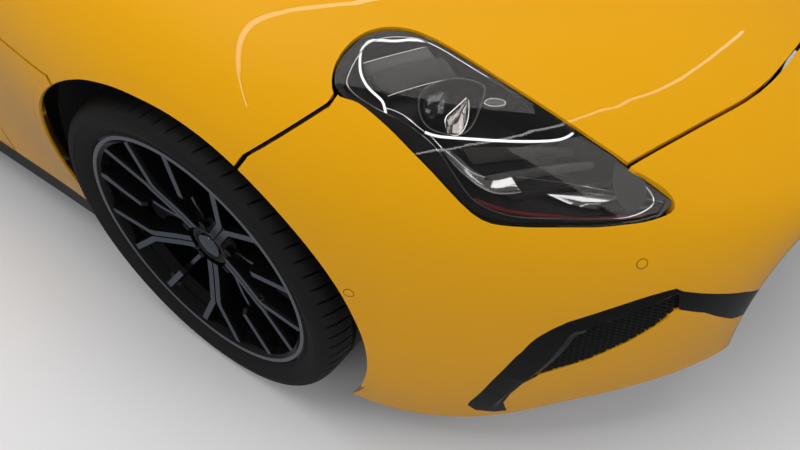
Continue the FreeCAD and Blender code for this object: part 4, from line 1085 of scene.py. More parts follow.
class COUPE_OT_wheels(bpy.types.Operator):
    """Models a front and a rear wheel and copies each to the other side"""
    bl_idname = "coupe.wheels"
    bl_label = "Wheels and tyres"

    def execute(self, context):
        for end, (bead, half, radius, disc_radius, offset) in WHEEL_SIZES.items():
            tyre = tyre_mesh("tyre", bead, half, radius)
            rim = rim_mesh("rim", bead, half)
            disc = disc_mesh("disc", half, disc_radius, offset)
            for side, flip in (("right", False), ("left", True)):
                move = Matrix.Translation(wheel_place(end, side))
                change = move @ LEFTWARDS if flip else move
                body = "wheel_%s_%s" % (end, side)
                for piece, kind, label, slot, stands in (
                        (tyre, "tyre_dressed", "tyre", "tyre_rubber", "tyre"),
                        (rim, "alloy_wheel", None, "alloy", "rim"),
                        (disc, "brake_disc", "disc", "arm_metal", None)):
                    twin = copied(piece, "%s_%s_%s" % (kind, end, side), change, flip)
                    nodes = ["%s_%s_%s" % (stands, end, side)] if stands else []
                    finished(twin, label, body, slot, nodes)
            for piece in (tyre, rim, disc):
                bpy.data.objects.remove(piece, do_unlink=True)
        return {"FINISHED"}


# Headlamps

LAMP_MIDDLE = Vector((450, -716))
LAMP_OUTLINE = [(716, -612), (697, -643), (661, -681), (624, -715), (548, -776), (495, -804),
                (414, -811), (356, -812), (311, -815), (280, -824), (261, -800), (258, -762),
                (267, -727), (293, -696), (339, -678), (447, -666), (553, -649), (639, -627),
                (695, -607)]
MASK_OUTLINE = [(284, -816), (277, -799), (273, -771), (270, -737), (289, -710), (320, -684),
                (344, -678), (401, -673), (478, -663), (552, -648), (632, -629), (680, -617),
                (706, -611), (712, -617), (696, -641), (645, -691), (567, -756), (527, -782),
                (492, -796), (466, -796), (447, -793), (426, -790), (399, -791), (370, -795),
                (341, -804), (312, -812), (292, -819)]
LED_TOP = [(337, -677), (314, -691), (299, -711), (279, -726), (270, -736), (269, -752),
           (279, -770), (292, -785), (310, -792), (328, -792), (338, -793), (348, -803)]
LED_LOW = [(401, -785), (413, -781), (435, -766), (461, -747), (493, -723), (524, -697),
           (549, -673), (559, -658), (561, -650)]
LOUVRES = [
    ("louvre_top", [(283, -767), (310, -722), (337, -680)], 16,
     [(297, -773), (328, -725), (360, -679)], 30),
    ("louvre_second", [(299, -774), (330, -726), (362, -679)], 18,
     [(333, -776), (359, -728), (393, -681)], 36),
    ("louvre_third", [(452, -765), (519, -707), (575, -658)], 22,
     [(476, -769), (530, -715), (582, -662)], 36),
    ("louvre_low", [(495, -769), (550, -710), (603, -654)], 20,
     [(522, -758), (570, -704), (617, -650)], 34),
    ("louvre_tip", [(527, -764), (590, -703), (640, -650)], 24,
     [(545, -762), (605, -700), (655, -640)], 38),
]
DARK_LOUVRES = (1, 2, 4)
SLAT_WALL = 14
RING_POINTS = 96
BOWL_TOP = 4.2
EYE = [(372, -760), (368, -744), (375, -725), (387, -705), (401, -690), (419, -681), (433, -678),
       (440, -695), (446, -717), (449, -738), (444, -754), (428, -766), (407, -777), (387, -775)]
EYE_BARREL = [(375, -757), (376, -740), (388, -721), (400, -714), (408, -727), (410, -746),
              (402, -765), (388, -769)]
EYE_LENS = [(422, -707), (436, -724), (443, -747), (438, -762), (423, -765), (413, -753),
            (416, -740), (420, -722)]
SECOND_EYE = [(443, -700), (446, -690), (458, -680), (469, -677), (466, -687), (451, -700)]
FINE_LINE = [(527, -742), (573, -709), (630, -668), (704, -616)]
CHROME_SWEEP = [(430, -784), (447, -787), (466, -786), (495, -780), (521, -768), (541, -748)]
CHROME_SIDE = [(342, -796), (363, -786), (394, -786), (415, -782), (430, -784)]
SWEEP_INNER = [(446, -774), (458, -775), (474, -774), (496, -768), (512, -758), (524, -744)]
LOW_BEZEL = [(571, -726), (603, -711), (643, -682), (685, -643), (706, -618), (685, -631),
             (634, -672), (596, -702)]
MARKER = [(494, -794), (521, -782), (556, -760), (591, -734), (624, -709), (660, -676),
          (690, -646)]
CORNER = [(632, -622), (652, -612), (680, -632), (668, -660), (640, -660), (626, -640)]
# name, plan line, depth and radius in millimetres, closed, finish
LAMP_EDGES = [
    ("upper_edge", LOUVRES[0][1], LOUVRES[0][2] - 1, 0.9, False, "lamp_chrome"),
    ("lower_edge", LOUVRES[1][3], LOUVRES[1][4] - 1, 0.9, False, "lamp_chrome"),
    ("eye_rim", EYE, 17, 0.9, True, "lamp_grey"),
    ("eye_ring", EYE_LENS, 16.5, 1.1, True, "lamp_chrome"),
    ("second_ring", SECOND_EYE, 17, 0.8, True, "lamp_chrome"),
    ("led_top", LED_TOP, 9, 1.8, False, "led"),
    ("led_low", LED_LOW, 9, 1.9, False, "led"),
    ("fine_line", FINE_LINE, 9, 0.7, False, "lamp_chrome"),
    ("sweep", CHROME_SWEEP, 15, 2.4, False, "lamp_chrome"),
    ("side", CHROME_SIDE, 13, 1.1, False, "lamp_chrome"),
    ("marker", MARKER, 10, 3.2, False, "dark_red"),
]
# name, plan outline, share and depth of each ring, wall in millimetres, finish
LAMP_BOWLS = [
    ("eye", EYE, [(1, 18), (0.93, 20), (0.88, 30), (0.6, 44), (0, 48)], 1.5, "lamp_black"),
    ("barrel", EYE_BARREL, [(1, 40), (0.96, 24), (0.75, 17), (0.4, 13), (0, 12)], 1.5, "screen"),
    ("eye_lens", EYE_LENS, [(1, 26), (0.97, 18), (0.8, 14), (0.4, 11), (0, 10)], 1.2, "lens"),
    ("eye_back", EYE_LENS, [(0.9, 26), (0.6, 30), (0, 32)], 1.2, "lamp_chrome"),
    ("second_eye", SECOND_EYE, [(1, 24), (0.9, 17), (0.5, 15), (0, 14)], 1.2, "lamp_grey"),
    ("low_bezel", LOW_BEZEL, [(1, 14), (0.7, 18), (0.3, 22), (0, 23)], 1.5, "lamp_chrome"),
    ("corner", CORNER, [(1, 6), (0, 6)], 1.2, "lamp_black"),
]


def polar_outline(points, middle, count):
    """How far a closed line lies from its middle, all the way round."""
    line = ring_line([(x, y, 0) for x, y in points], 240)
    turn = np.array([math.atan2(p.y - middle.y, p.x - middle.x) for p in line])
    reach = np.array([math.hypot(p.x - middle.x, p.y - middle.y) for p in line])
    order = np.argsort(turn)
    turn, reach = turn[order], reach[order]
    turn = np.concatenate([turn - 2 * math.pi, turn, turn + 2 * math.pi])
    reach = np.concatenate([reach, reach, reach])
    stops = [-math.pi + 2 * math.pi * k / count for k in range(count)]
    return [(stop, float(np.interp(stop, turn, reach))) for stop in stops]


def round_rows(points, middle, levels, count=RING_POINTS):
    """Rings shrinking to a middle, each at its own depth under the skin."""
    outline_polar = polar_outline(points, middle, count)
    return [[SKIN.down(middle.x + reach * share * math.cos(turn),
                       middle.y + reach * share * math.sin(turn), depth * MM)
             for turn, reach in outline_polar] for share, depth in levels]


def bowl_rows(points, middle, levels):
    """Rings shrinking to a middle, each lowered straight down from just under the skin."""
    rows = round_rows(points, middle, [(share, BOWL_TOP) for share, _ in levels])
    return [[point - Vector((0, 0, drop * MM)) for point in row]
            for row, (_, drop) in zip(rows, levels)]


def domed(name, points, levels, wall):
    """A bowl or dome over a plan outline, as a walled sheet."""
    middle_of = Vector([sum(along) / len(points) for along in zip(*points)])
    return sheeted(name, round_rows(points, middle_of, levels, RING_POINTS // 2), wall)


def guide(name, points, depth, radius, loop=False):
    """A round guide that follows the skin at a depth."""
    return tube(name, [SKIN.down(x, y, depth * MM) for x, y in points], radius * MM, loop)


def louvre(name, top, top_depth, low, low_depth):
    """A sloping slat between two lines under the lens."""
    tops = ring_line([(x, y, 0) for x, y in top], 12, loop=False)
    lows = ring_line([(x, y, 0) for x, y in low], 12, loop=False)
    sections = [[SKIN.down(p.x, p.y, depth * MM)
                 for p, depth in ((a, top_depth), (b, low_depth), (b, low_depth + SLAT_WALL),
                                  (a, top_depth + SLAT_WALL))] for a, b in zip(tops, lows)]
    return bevelled(lofted(name, sections), 0.0008)


class COUPE_OT_headlamps(bpy.types.Operator):
    """Models the right headlamp's lens, mask, housing, louvres, eyes and light guides"""
    bl_idname = "coupe.headlamps"
    bl_label = "Headlamps"

    def execute(self, context):
        wall = context.scene.coupe_sizes.lens_wall
        pieces = []

        def keep(piece, label, angle=30):
            """Collects a piece of the lamp with its finish."""
            pieces.append((smooth(piece, angle), label))

        rows = round_rows(LAMP_OUTLINE, LAMP_MIDDLE,
                          [(share, 1.2) for share in (0.998, 0.96, 0.9, 0.8, 0.68, 0.55, 0.4,
                                                      0.25, 0.1, 0)])
        keep(sheeted("headlamp_lens", rows, wall), "lens", 40)
        edge = polar_outline(LAMP_OUTLINE, LAMP_MIDDLE, RING_POINTS)
        mask = polar_outline(MASK_OUTLINE, LAMP_MIDDLE, RING_POINTS)
        both = [(turn, outer, inner) for (turn, outer), (_, inner) in zip(edge, mask)]
        rows = [[self.around(outer * 0.997 + (min(inner, outer * 0.985) - outer * 0.997) * share,
                             turn, depth) for turn, outer, inner in both]
                for share, depth in ((0, 4.6), (0.5, 4.8), (1, 5.2))]
        keep(sheeted("headlamp_mask", rows, 0.0015), "lamp_black")
        rim = [self.around(min(inner, outer * 0.98) * 0.992, turn, 7.8)
               for turn, outer, inner in both]
        keep(tube("headlamp_rim", rim[::2], 0.0011, True), "lamp_chrome")
        rows = bowl_rows(LAMP_OUTLINE, LAMP_MIDDLE,
                         [(0.972, 0), (0.966, 20), (0.93, 45), (0.85, 58), (0.6, 64),
                          (0.3, 66), (0, 66)])
        keep(sheeted("headlamp_bowl", rows, 0.002), "lamp_black")
        for k, (name, *lines) in enumerate(LOUVRES):
            keep(louvre("headlamp_" + name, *lines),
                 "lamp_dark" if k in DARK_LOUVRES else "lamp_grey")
        for name, line, depth, radius, loop, label in LAMP_EDGES:
            keep(guide("headlamp_" + name, line, depth, radius, loop), label)
        keep(louvre("headlamp_sweep_wide", CHROME_SWEEP, 15, SWEEP_INNER, 26), "lamp_chrome")
        for name, points, levels, thick, label in LAMP_BOWLS:
            keep(domed("headlamp_" + name, points, levels, thick * MM), label)
        for k, (piece, label) in enumerate(pieces):
            both_sides(piece, piece.name, label, "car", "lamp_unit", None if k else "headlamp")
        return {"FINISHED"}

    def around(self, reach, turn, depth):
        """A place under the lens, at a reach and a turn from the lamp's middle."""
        return SKIN.down(LAMP_MIDDLE.x + reach * math.cos(turn),
                         LAMP_MIDDLE.y + reach * math.sin(turn), depth * MM)


# Corner intakes

INTAKE_WAY = Vector((1, -1, 0)).normalized()
INTAKE_ALONG = Vector((1, 1, 0)).normalized()
MESH_EDGE = [(104, 486), (37, 474), (-41, 427), (-56, 415), (-75, 373), (-112, 282),
             (-91, 290), (-20, 327), (43, 374), (81, 410), (108, 440), (112, 470)]
BLADE_OUTER = [(92, 498), (86, 498), (44, 490), (-3, 475), (-43, 460), (-70, 448), (-96, 430),
               (-121, 401), (-140, 354), (-167, 289), (-186, 228), (-203, 174), (-196, 158)]
BLADE_CREASE = [(95, 491), (82, 487), (49, 471), (15, 456), (-18, 441), (-45, 428), (-62, 424),
                (-72, 392), (-87, 345), (-110, 290), (-136, 240), (-158, 176), (-162, 148)]
BLADE_INNER = [(99, 482), (84, 477), (51, 462), (17, 448), (-16, 430), (-38, 415), (-52, 408),
               (-61, 375), (-79, 330), (-98, 289), (-127, 243), (-143, 178), (-131, 140)]


def on_corner(t, z, depth):
    """A place on the right front corner's skin, sunk by a depth, from its slanting plane."""
    start = at(0, 0, 0) + INTAKE_WAY * 1.4 + INTAKE_ALONG * (t * MM) + Vector((0, 0, z * MM))
    return SKIN.cast(start, -INTAKE_WAY, depth * MM)[0]


def inside(polygon, x, y):
    """Whether a plan place lies inside an outline."""
    hit = False
    for (x0, y0), (x1, y1) in zip(polygon, polygon[1:] + polygon[:1]):
        if (y0 > y) != (y1 > y) and x < x0 + (y - y0) / (y1 - y0) * (x1 - x0):
            hit = not hit
    return hit


def mesh_cell(pitch, height):
    """One long hexagonal cell of the mesh: a hexagon, inset and drawn back."""
    half, low = pitch / 2, height / 2
    cell = outline("mesh_cell", [(-half * 0.62, low, 0), (-half, 0, 0), (-half * 0.62, -low, 0),
                                 (half * 0.62, -low, 0), (half, 0, 0), (half * 0.62, low, 0)])
    editing(cell)
    bpy.ops.mesh.select_mode(type="FACE")
    bpy.ops.mesh.select_all(action="SELECT")
    bpy.ops.mesh.inset(thickness=pitch * 0.085, depth=-pitch * 0.1)
    bpy.ops.mesh.delete(type="FACE")
    bpy.ops.mesh.select_all(action="SELECT")
    bpy.ops.mesh.extrude_region_move(TRANSFORM_OT_translate={"value": (0, 0, -pitch * 0.35)})
    return faced_out(cell)


class COUPE_OT_intakes(bpy.types.Operator):
    """Fits the corner intakes' gloss frames, their honeycomb mesh and blade ridges"""
    bl_idname = "coupe.intakes"
    bl_label = "Corner intakes"

    def execute(self, context):
        shell = skin_shaded(node_copy("intake_grilles", "intake_frames"))
        finished(shell, "gloss_black", "car", "black_gloss", ["intake_grilles"])
        pitch = context.scene.coupe_sizes.mesh_pitch / MM
        height = pitch * 0.42
        cell = mesh_cell(pitch, height)
        cells = []
        for row in range(-4, 66):
            for column in range(-12, 14):
                t = column * pitch * 1.24 + (row % 2) * pitch * 0.62
                z = 270 + row * height * 0.5
                reach = ((0, 0), (7, 0), (-7, 0), (0, 7), (0, -9))
                if any(inside(MESH_EDGE, t + a, z + b) for a, b in reach):
                    cells.append(copied(cell, "mesh_cell", Matrix.Translation((t, z, 0))))
        bpy.data.objects.remove(cell, do_unlink=True)
        mesh = joined("intake_mesh", cells)
        for vertex in mesh.data.vertices:
            t, z, back = vertex.co
            vertex.co = on_corner(t, z, self.mesh_depth(t, z) - back)
        mesh.data.flip_normals()
        both_sides(mesh, "intake_mesh", "mesh_black", "car", "black_plastic")
        lines = [ring_line([(t, z, 0) for t, z in line], 40, loop=False)
                 for line in (BLADE_OUTER, BLADE_CREASE, BLADE_INNER)]
        sections = [[on_corner(a.x, a.y, -0.4), on_corner(b.x, b.y, -3.4),
                     on_corner(c.x, c.y, 1.5), on_corner(c.x, c.y, 12), on_corner(a.x, a.y, 6)]
                    for a, b, c in zip(*lines)]
        blade = smooth(bevelled(lofted("intake_blade", sections), 0.0007), 16)
        both_sides(blade, "intake_blade", "gloss_black", "car", "black_gloss")
        return {"FINISHED"}

    def mesh_depth(self, t, z):
        """How far the mesh lies behind the skin: deep under the blade, shallow at the lip."""
        return 1.6 + 8 * min(max((z - (0.62 * t + 362)) / 60, 0), 1)


# Arch lips, seals and sensors

ARCHES = {"front": (FRONT_AXLE, 0.335, 0.397), "rear": (REAR_AXLE, 0.357, 0.412)}
ARCH_LIPS = [("front", "nose", "car", -24, 60.2), ("front", "bonnet", "bonnet", 61.4, 124.4),
             ("front", "wing", "car", 125.7, 201), ("rear", "shell", "car", -19, 199)]
NOSE_SEAM = [(762, 0), (753, -245), (737, -382), (692, -507), (641, -624)]
SIDE_SEAMS = [("bonnet", [(277, 752), (240, 721), (202, 688)]),
              ("wing", [(-236, 661), (-375, 664), (-620, 677), (-680, 680)])]
SEAL_DEPTH, SEAL_RADIUS = 0.007, 0.0019
SENSORS = [(711, -670, 553), (361, -921, 482)]
LIP_REACH = {"front": [(-24, 0.008), (-7, 0.014), (4, 0.018), (14, 0.022), (45, 0.025),
                       (90, 0.025), (110, 0.018), (140, 0.016), (201, 0.016)],
             "rear": [(-20, 0.014), (20, 0.022), (160, 0.022), (200, 0.014)]}


def arch_lip(end, start, stop):
    """The lip that narrows a wheel arch between two angles, flush with the skin."""
    centre, height, radius = ARCHES[end]
    reach = LIP_REACH[end]
    sections = []
    for k in range(37):
        degrees = start + (stop - start) * k / 36
        turn = math.radians(degrees)
        inner = radius - float(np.interp(degrees, [a for a, b in reach], [b for a, b in reach]))
        section = []
        for r, depth in ((radius + 0.002, 0.00015), ((radius + inner) / 2, 0.00015),
                         (inner + 0.003, 0.00015), (inner + 0.0008, 0.0009), (inner, 0.003),
                         (inner, 0.0065), (radius + 0.002, 0.0065)):
            x, z = centre + r * math.cos(turn), height + r * math.sin(turn)
            section.append(SKIN.cast((x, -1.5, z), (0, 1, 0), depth)[0])
        sections.append(section)
    return lofted("arch_lip", sections)


def on_skin(obj, place, way):
    """Stands an object that was modelled on the floor plane on the skin instead."""
    where, normal = SKIN.cast(place, way)
    turn = normal.to_track_quat("Z", "Y").to_matrix().to_4x4()
    obj.data.transform(Matrix.Translation(where) @ turn)
    return obj


class COUPE_OT_trim(bpy.types.Operator):
    """Adds the rolled arch lips, the seals in the shut lines and the parking sensors"""
    bl_idname = "coupe.trim"
    bl_label = "Arch lips, seals and sensors"

    def execute(self, context):
        for end, label, body, start, stop in ARCH_LIPS:
            lip = skin_shaded(arch_lip(end, start, stop))
            both_sides(lip, "arch_lip_" + label, "paint", body, "body_paint")
        for label, seam in SIDE_SEAMS:
            seal = smooth(tube("seal", [SKIN.across(x, z, SEAL_DEPTH) for x, z in seam],
                               SEAL_RADIUS))
            both_sides(seal, label + "_seal", "seal", "car", "black_plastic")
        half = [SKIN.down(x, y, SEAL_DEPTH) for x, y in NOSE_SEAM]
        line = [LEFTWARDS @ point for point in half[:0:-1]] + half
        finished(smooth(tube("nose_seal", line, SEAL_RADIUS)), "seal", "car", "black_plastic")
        for k, (x, y, z) in enumerate(SENSORS):
            groove = turned("sensor", [(0, -0.004), (0, 0.0002), (0.0088, 0.0002),
                                       (0.0088, -0.004)], 32)
            cap = turned("sensor_cap", [(0, -0.004), (0, 0.0007), (0.0066, 0.0006),
                                        (0.0078, 0.0002), (0.0078, -0.004)], 32)
            start, way = at(x, -1500, z), (0, 1, 0)
            for piece, label, finish_name, slot in (
                    (groove, "sensor_ring", "seal", "black_plastic"),
                    (cap, "sensor_cap", "paint", "body_paint")):
                smooth(on_skin(piece, start, way), 40)
                both_sides(piece, "%s_%d" % (label, k + 1), finish_name, "car", slot)
        return {"FINISHED"}


# Seats

SEAT_MIDDLE = -0.392
SEAT_HALF = 0.25
CHANNEL_ASIDE = 0.075
SEAM_LIFT = 0.0004
PAD_STEPS = 16
PADS = {
    # name: (cushion outline in x and z, half width, voxel, cap, pressure)
    "seat_cushion": ([(-1226, 322), (-1240, 274), (-1500, 262), (-1735, 256), (-1782, 328),
                      (-1752, 384), (-1500, 398), (-1248, 406)], 0.150, 0.0085, 0.022, 4.0),
    "seat_back": ([(-1712, 392), (-1792, 352), (-1838, 404), (-1935, 690), (-2026, 936),
                   (-1996, 970), (-1934, 962), (-1830, 690)], 0.150, 0.0085, 0.022, 4.0),
    "seat_headrest": ([(-1950, 990), (-2048, 990), (-2062, 1110), (-2026, 1136), (-1974, 1120)],
                      0.112, 0.007, 0.012, 3.0),
}
BOLSTERS = {
    "seat_side": ([(-1222, 330), (-1240, 268), (-1500, 256), (-1742, 248), (-1790, 330),
                   (-1756, 408), (-1500, 412), (-1244, 414)], 0.006, 0.014),
    "seat_wing": ([(-1700, 396), (-1796, 344), (-1846, 404), (-1940, 680), (-2008, 870),
                   (-1975, 905), (-1915, 880), (-1806, 690)], 0.006, 0.014),
}


def pad_block(name, profile, low_y, high_y):
    """A closed block with a pad's side outline, its edges rounded."""
    points = [at(x, 0, z) + Vector((0, low_y, 0)) for x, z in profile]
    return bevelled(plate(name, points, (0, high_y - low_y, 0)), 0.018, 3, 30)


def swollen(obj, voxel, cap, pressure, refine=True):
    """Puffs a pad up as its stuffing would, and smooths it."""
    modified(obj, "REMESH", mode="VOXEL", voxel_size=voxel)
    before = [vertex.co.copy() for vertex in obj.data.vertices]
    pad = obj.modifiers.new("Stuffing", "CLOTH")
    pad.settings.use_pressure = True
    pad.settings.uniform_pressure_force = pressure
    pad.settings.effector_weights.gravity = 0
    scene = bpy.context.scene
    for step in range(1, PAD_STEPS + 1):
        scene.frame_set(step)
    alone(obj)
    bpy.ops.object.modifier_apply(modifier=pad.name)
    scene.frame_set(1)
    for vertex, start in zip(obj.data.vertices, before):
        moved = vertex.co - start
        if moved.length > cap:
            vertex.co = start + moved.normalized() * cap
    modified(obj, "SMOOTH", iterations=4)
    if refine:
        modified(obj, "SUBSURF", levels=1, render_levels=1)
    return smooth(obj, 180)


def seam_cord(name, pad, starts, way):
    """A cord laid along a pad where rays from a line of starts meet it."""
    found = [pad.ray_cast(start, Vector(way)) for start in starts]
    points = [where + normal * SEAM_LIFT for hit, where, normal, _ in found if hit]
    return tube(name, points, bpy.context.scene.coupe_sizes.seam_width)


def pressed_channels(pad, lines, way, depth=0.006, spread=0.012):
    """Draws sewn channels into a pad along lines at some widths across the car."""
    for vertex in pad.data.vertices:
        for place in lines:
            gap = abs(vertex.co.y - place)
            if gap < spread and vertex.normal.dot(way) > 0.3:
                share = 0.5 + 0.5 * math.cos(math.pi * gap / spread)
                vertex.co -= vertex.normal * depth * share


def padded_pair(pad, base):
    """Finishes a leather pad and its left-hand twin."""
    for item in both_sides(pad, base, "leather", "car", "cabin_leather"):
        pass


class COUPE_OT_seats(bpy.types.Operator):
    """Pads the front seats: cushion, back, bolsters and headrest, with sewn seams"""
    bl_idname = "coupe.seats"
    bl_label = "Front seats"

    def execute(self, context):
        pads = []
        for name, (profile, half, voxel, cap, pressure) in PADS.items():
            pad = pad_block(name, profile, SEAT_MIDDLE - half, SEAT_MIDDLE + half)
            swollen(pad, voxel, cap, pressure)
            way = Vector((0.1, 0, 1)) if name == "seat_cushion" else Vector((1, 0, 0.3))
            if name != "seat_headrest":
                pressed_channels(pad, [SEAT_MIDDLE - CHANNEL_ASIDE, SEAT_MIDDLE + CHANNEL_ASIDE],
                                 way)
            pads.append(pad)
        for name, (profile, voxel, cap) in BOLSTERS.items():
            pad = pad_block(name + "_outer", profile, SEAT_MIDDLE - SEAT_HALF + 0.012,
                            SEAT_MIDDLE - 0.164)
            swollen(pad, voxel, cap, 3.0, refine=False)
            across = Matrix.Translation((0, 2 * SEAT_MIDDLE, 0)) @ LEFTWARDS
            pads += [pad, copied(pad, name + "_inner", across, flip=True)]
        shell = node_copy("seat_right", "seat_frame")
        self.narrowed(shell)
        for pad in pads:
            padded_pair(pad, pad.name)
        both_sides(shell, "seat_frame", "soft_trim", "car", "cabin_trim", "seat")
        both_sides(self.seams(pads), "seat_stitching", "thread", "car", "cabin_leather")
        return {"FINISHED"}

    def narrowed(self, shell):
        """Keeps the seat's frame below the pads by shrinking it a little."""
        for vertex in shell.data.vertices:
            if vertex.co.z > 0.262:
                vertex.co.y = SEAT_MIDDLE + (vertex.co.y - SEAT_MIDDLE) * 0.90
        modified(shell, "DISPLACE", strength=-0.012, mid_level=0.0)
        return smooth(shell, 30)

    def seams(self, pads):
        """Thread along the cushion's and the back's channels."""
        cords = []
        for pad, way, spots in (
                (pads[0], (0, 0, -1), [at(x, 0, 700) for x in range(-1740, -1240, 20)]),
                (pads[1], (-1, 0, 0), [at(-1400, 0, z) for z in range(420, 960, 20)])):
            for aside in (-0.0745, 0.0745):
                starts = [Vector((p.x, SEAT_MIDDLE + aside, p.z)) for p in spots]
                cords.append(seam_cord("seat_thread", pad, starts, way))
        return smooth(joined("seat_stitching", cords), 60)


BENCH_PADS = {
    "bench_cushion": [(-2100, 300), (-2094, 396), (-2124, 446), (-2390, 408), (-2420, 340),
                      (-2400, 296)],
    "bench_back": [(-2336, 424), (-2374, 838), (-2424, 846), (-2450, 822), (-2450, 440),
                   (-2400, 404)],
}
BENCH_CHANNELS = (-0.400, -0.175)


class COUPE_OT_bench(bpy.types.Operator):
    """Pads the two rear seats on the bench's frame"""
    bl_idname = "coupe.bench"
    bl_label = "Rear seats"

    def execute(self, context):
        frame_piece = node_copy("rear_bench", "rear_bench_frame")
        modified(frame_piece, "DISPLACE", strength=-0.014, mid_level=0.0)
        finished(smooth(frame_piece, 30), "soft_trim", "car", "cabin_trim", ["rear_bench"])
        for name, profile in BENCH_PADS.items():
            pad = pad_block(name, profile, -0.545, -0.030)
            swollen(pad, 0.008, 0.010, 3.0, refine=False)
            way = Vector((0.1, 0, 1)) if name == "bench_cushion" else Vector((1, 0, 0.2))
            pressed_channels(pad, BENCH_CHANNELS, way, 0.005, 0.016)
            padded_pair(pad, name)
        return {"FINISHED"}


# Cabin and outside details

WHEEL_CENTRE = Vector((0.4635, 0.370, 0.890))
COLUMN = Vector((0.906308, 0.0, -0.422618))


def on_column(obj):
    """Turns a piece modelled about +Z at the origin to stand on the steering column."""
    turn = (-COLUMN).to_track_quat("Z", "Y").to_matrix().to_4x4()
    obj.data.transform(Matrix.Translation(WHEEL_CENTRE) @ turn)
    return obj


def rounded(name, low, high, width, segments=3):
    """A block with rounded edges, from corners in millimetres from the front axle."""
    return smooth(bevelled(box(name, at(*low), at(*high)), width, segments, 30), 50)


# name, low corner, high corner, edge radius, finish
CABIN_BLOCKS = [
    ("instrument_screen", (-1012, 240, 818), (-990, 500, 905), 0.006, "screen"),
    ("middle_screen", (-1000, -120, 742), (-978, 120, 862), 0.006, "screen"),
    ("instrument_hood", (-1010, 225, 903), (-900, 515, 915), 0.005, "soft_trim"),
    ("trim_bar", (-1003, -560, 732), (-975, 560, 744), 0.003, "lamp_chrome"),
    ("glove_seam", (-978, -560, 700), (-955, -200, 702), 0.0008, "seal"),
    ("console_top", (-1690, -100, 520), (-1090, 100, 534), 0.006, "gloss_black"),
    ("gear_selector", (-1375, -26, 533), (-1330, 26, 566), 0.010, "gloss_black"),
    ("armrest", (-2030, -108, 502), (-1720, 108, 548), 0.018, "leather"),
]
VENT_PLACES = (-590, -180, 180, 590)


class COUPE_OT_cabin(bpy.types.Operator):
    """Details the dashboard, console and steering wheel, and lays the floor's carpet"""
    bl_idname = "coupe.cabin"
    bl_label = "Cabin"

    def execute(self, context):
        for name, low, high, width, label in CABIN_BLOCKS:
            slot = "cabin_leather" if label == "leather" else "cabin_trim"
            finished(rounded(name, low, high, width), label, "car", slot)
        for k, y in enumerate(VENT_PLACES):
            surround = rounded("vent_frame_%d" % k, (-1000, y - 52, 775), (-975, y + 52, 812),
                               0.004)
            finished(surround, "gloss_black", "car", "cabin_trim")
            for row in range(3):
                z = 783 + row * 10
                blade = rounded("vent_blade_%d_%d" % (k, row), (-1004, y - 46, z),
                                (-990, y + 46, z + 2.4), 0.0008, 2)
                finished(blade, "lamp_chrome", "car", "cabin_trim")
        for k, y in enumerate((45, -45)):
            cup = turned("cup_ring_%d" % k, [(0.034, 0), (0.038, 0), (0.038, 0.004),
                                             (0.034, 0.004)], 36, loop=True)
            cup.data.transform(Matrix.Translation(at(-1230, y, 533)))
            finished(smooth(cup, 40), "lamp_chrome", "car", "cabin_trim")
        carpet = rounded("floor_carpet", (-1650, -600, 146.5), (-800, -130, 152), 0.002)
        both_sides(carpet, "floor_carpet", "carpet", "car", "cabin_trim")
        self.steering()
        return {"FINISHED"}

    def steering(self):
        """The wheel's pad with its blank button, and the spokes' trims."""
        rides = ("steering_wheel", "cabin_leather")
        pad = turned("wheel_pad", [(0.0, 0.040), (0.030, 0.040), (0.052, 0.036), (0.062, 0.026),
                                   (0.064, 0.004), (0.050, -0.004), (0.0, -0.004)], 48)
        finished(smooth(on_column(pad), 60), "leather", *rides)
        button = turned("wheel_pad_button", [(0.0, 0.043), (0.018, 0.0425), (0.022, 0.040),
                                             (0.022, 0.036), (0.0, 0.036)], 36)
        finished(smooth(on_column(button), 40), "gloss_black", *rides)
        for k, turn in enumerate((0, 180, 90)):
            trim = box("spoke_trim_%d" % k, (0.055, -0.017, 0.002), (0.150, 0.017, 0.016))
            bevelled(trim, 0.005, 3, 30)
            trim.data.transform(Matrix.Rotation(math.radians(turn) + self.upright(), 4, "Z"))
            finished(smooth(on_column(trim), 50), "gloss_black", *rides)

    def upright(self):
        """The turn about the column that lays the side spokes level."""
        turn = (-COLUMN).to_track_quat("Z", "Y").to_matrix()
        level = turn.inverted() @ Vector((0, 1, 0))
        return math.atan2(level.y, level.x)


# Where each wiper's arm is pivoted and where it ends, in millimetres
WIPERS = {"first": ((-505, -430), (-700, -80)), "second": ((-492, 90), (-690, 440))}
HANDLE_HEIGHT = 0.742
VENT_RINGS = ((1.12, -0.3), (1.0, -1.6), (0.86, -0.8), (0.8, 0.4), (0.4, 0.6), (0, 0.6))


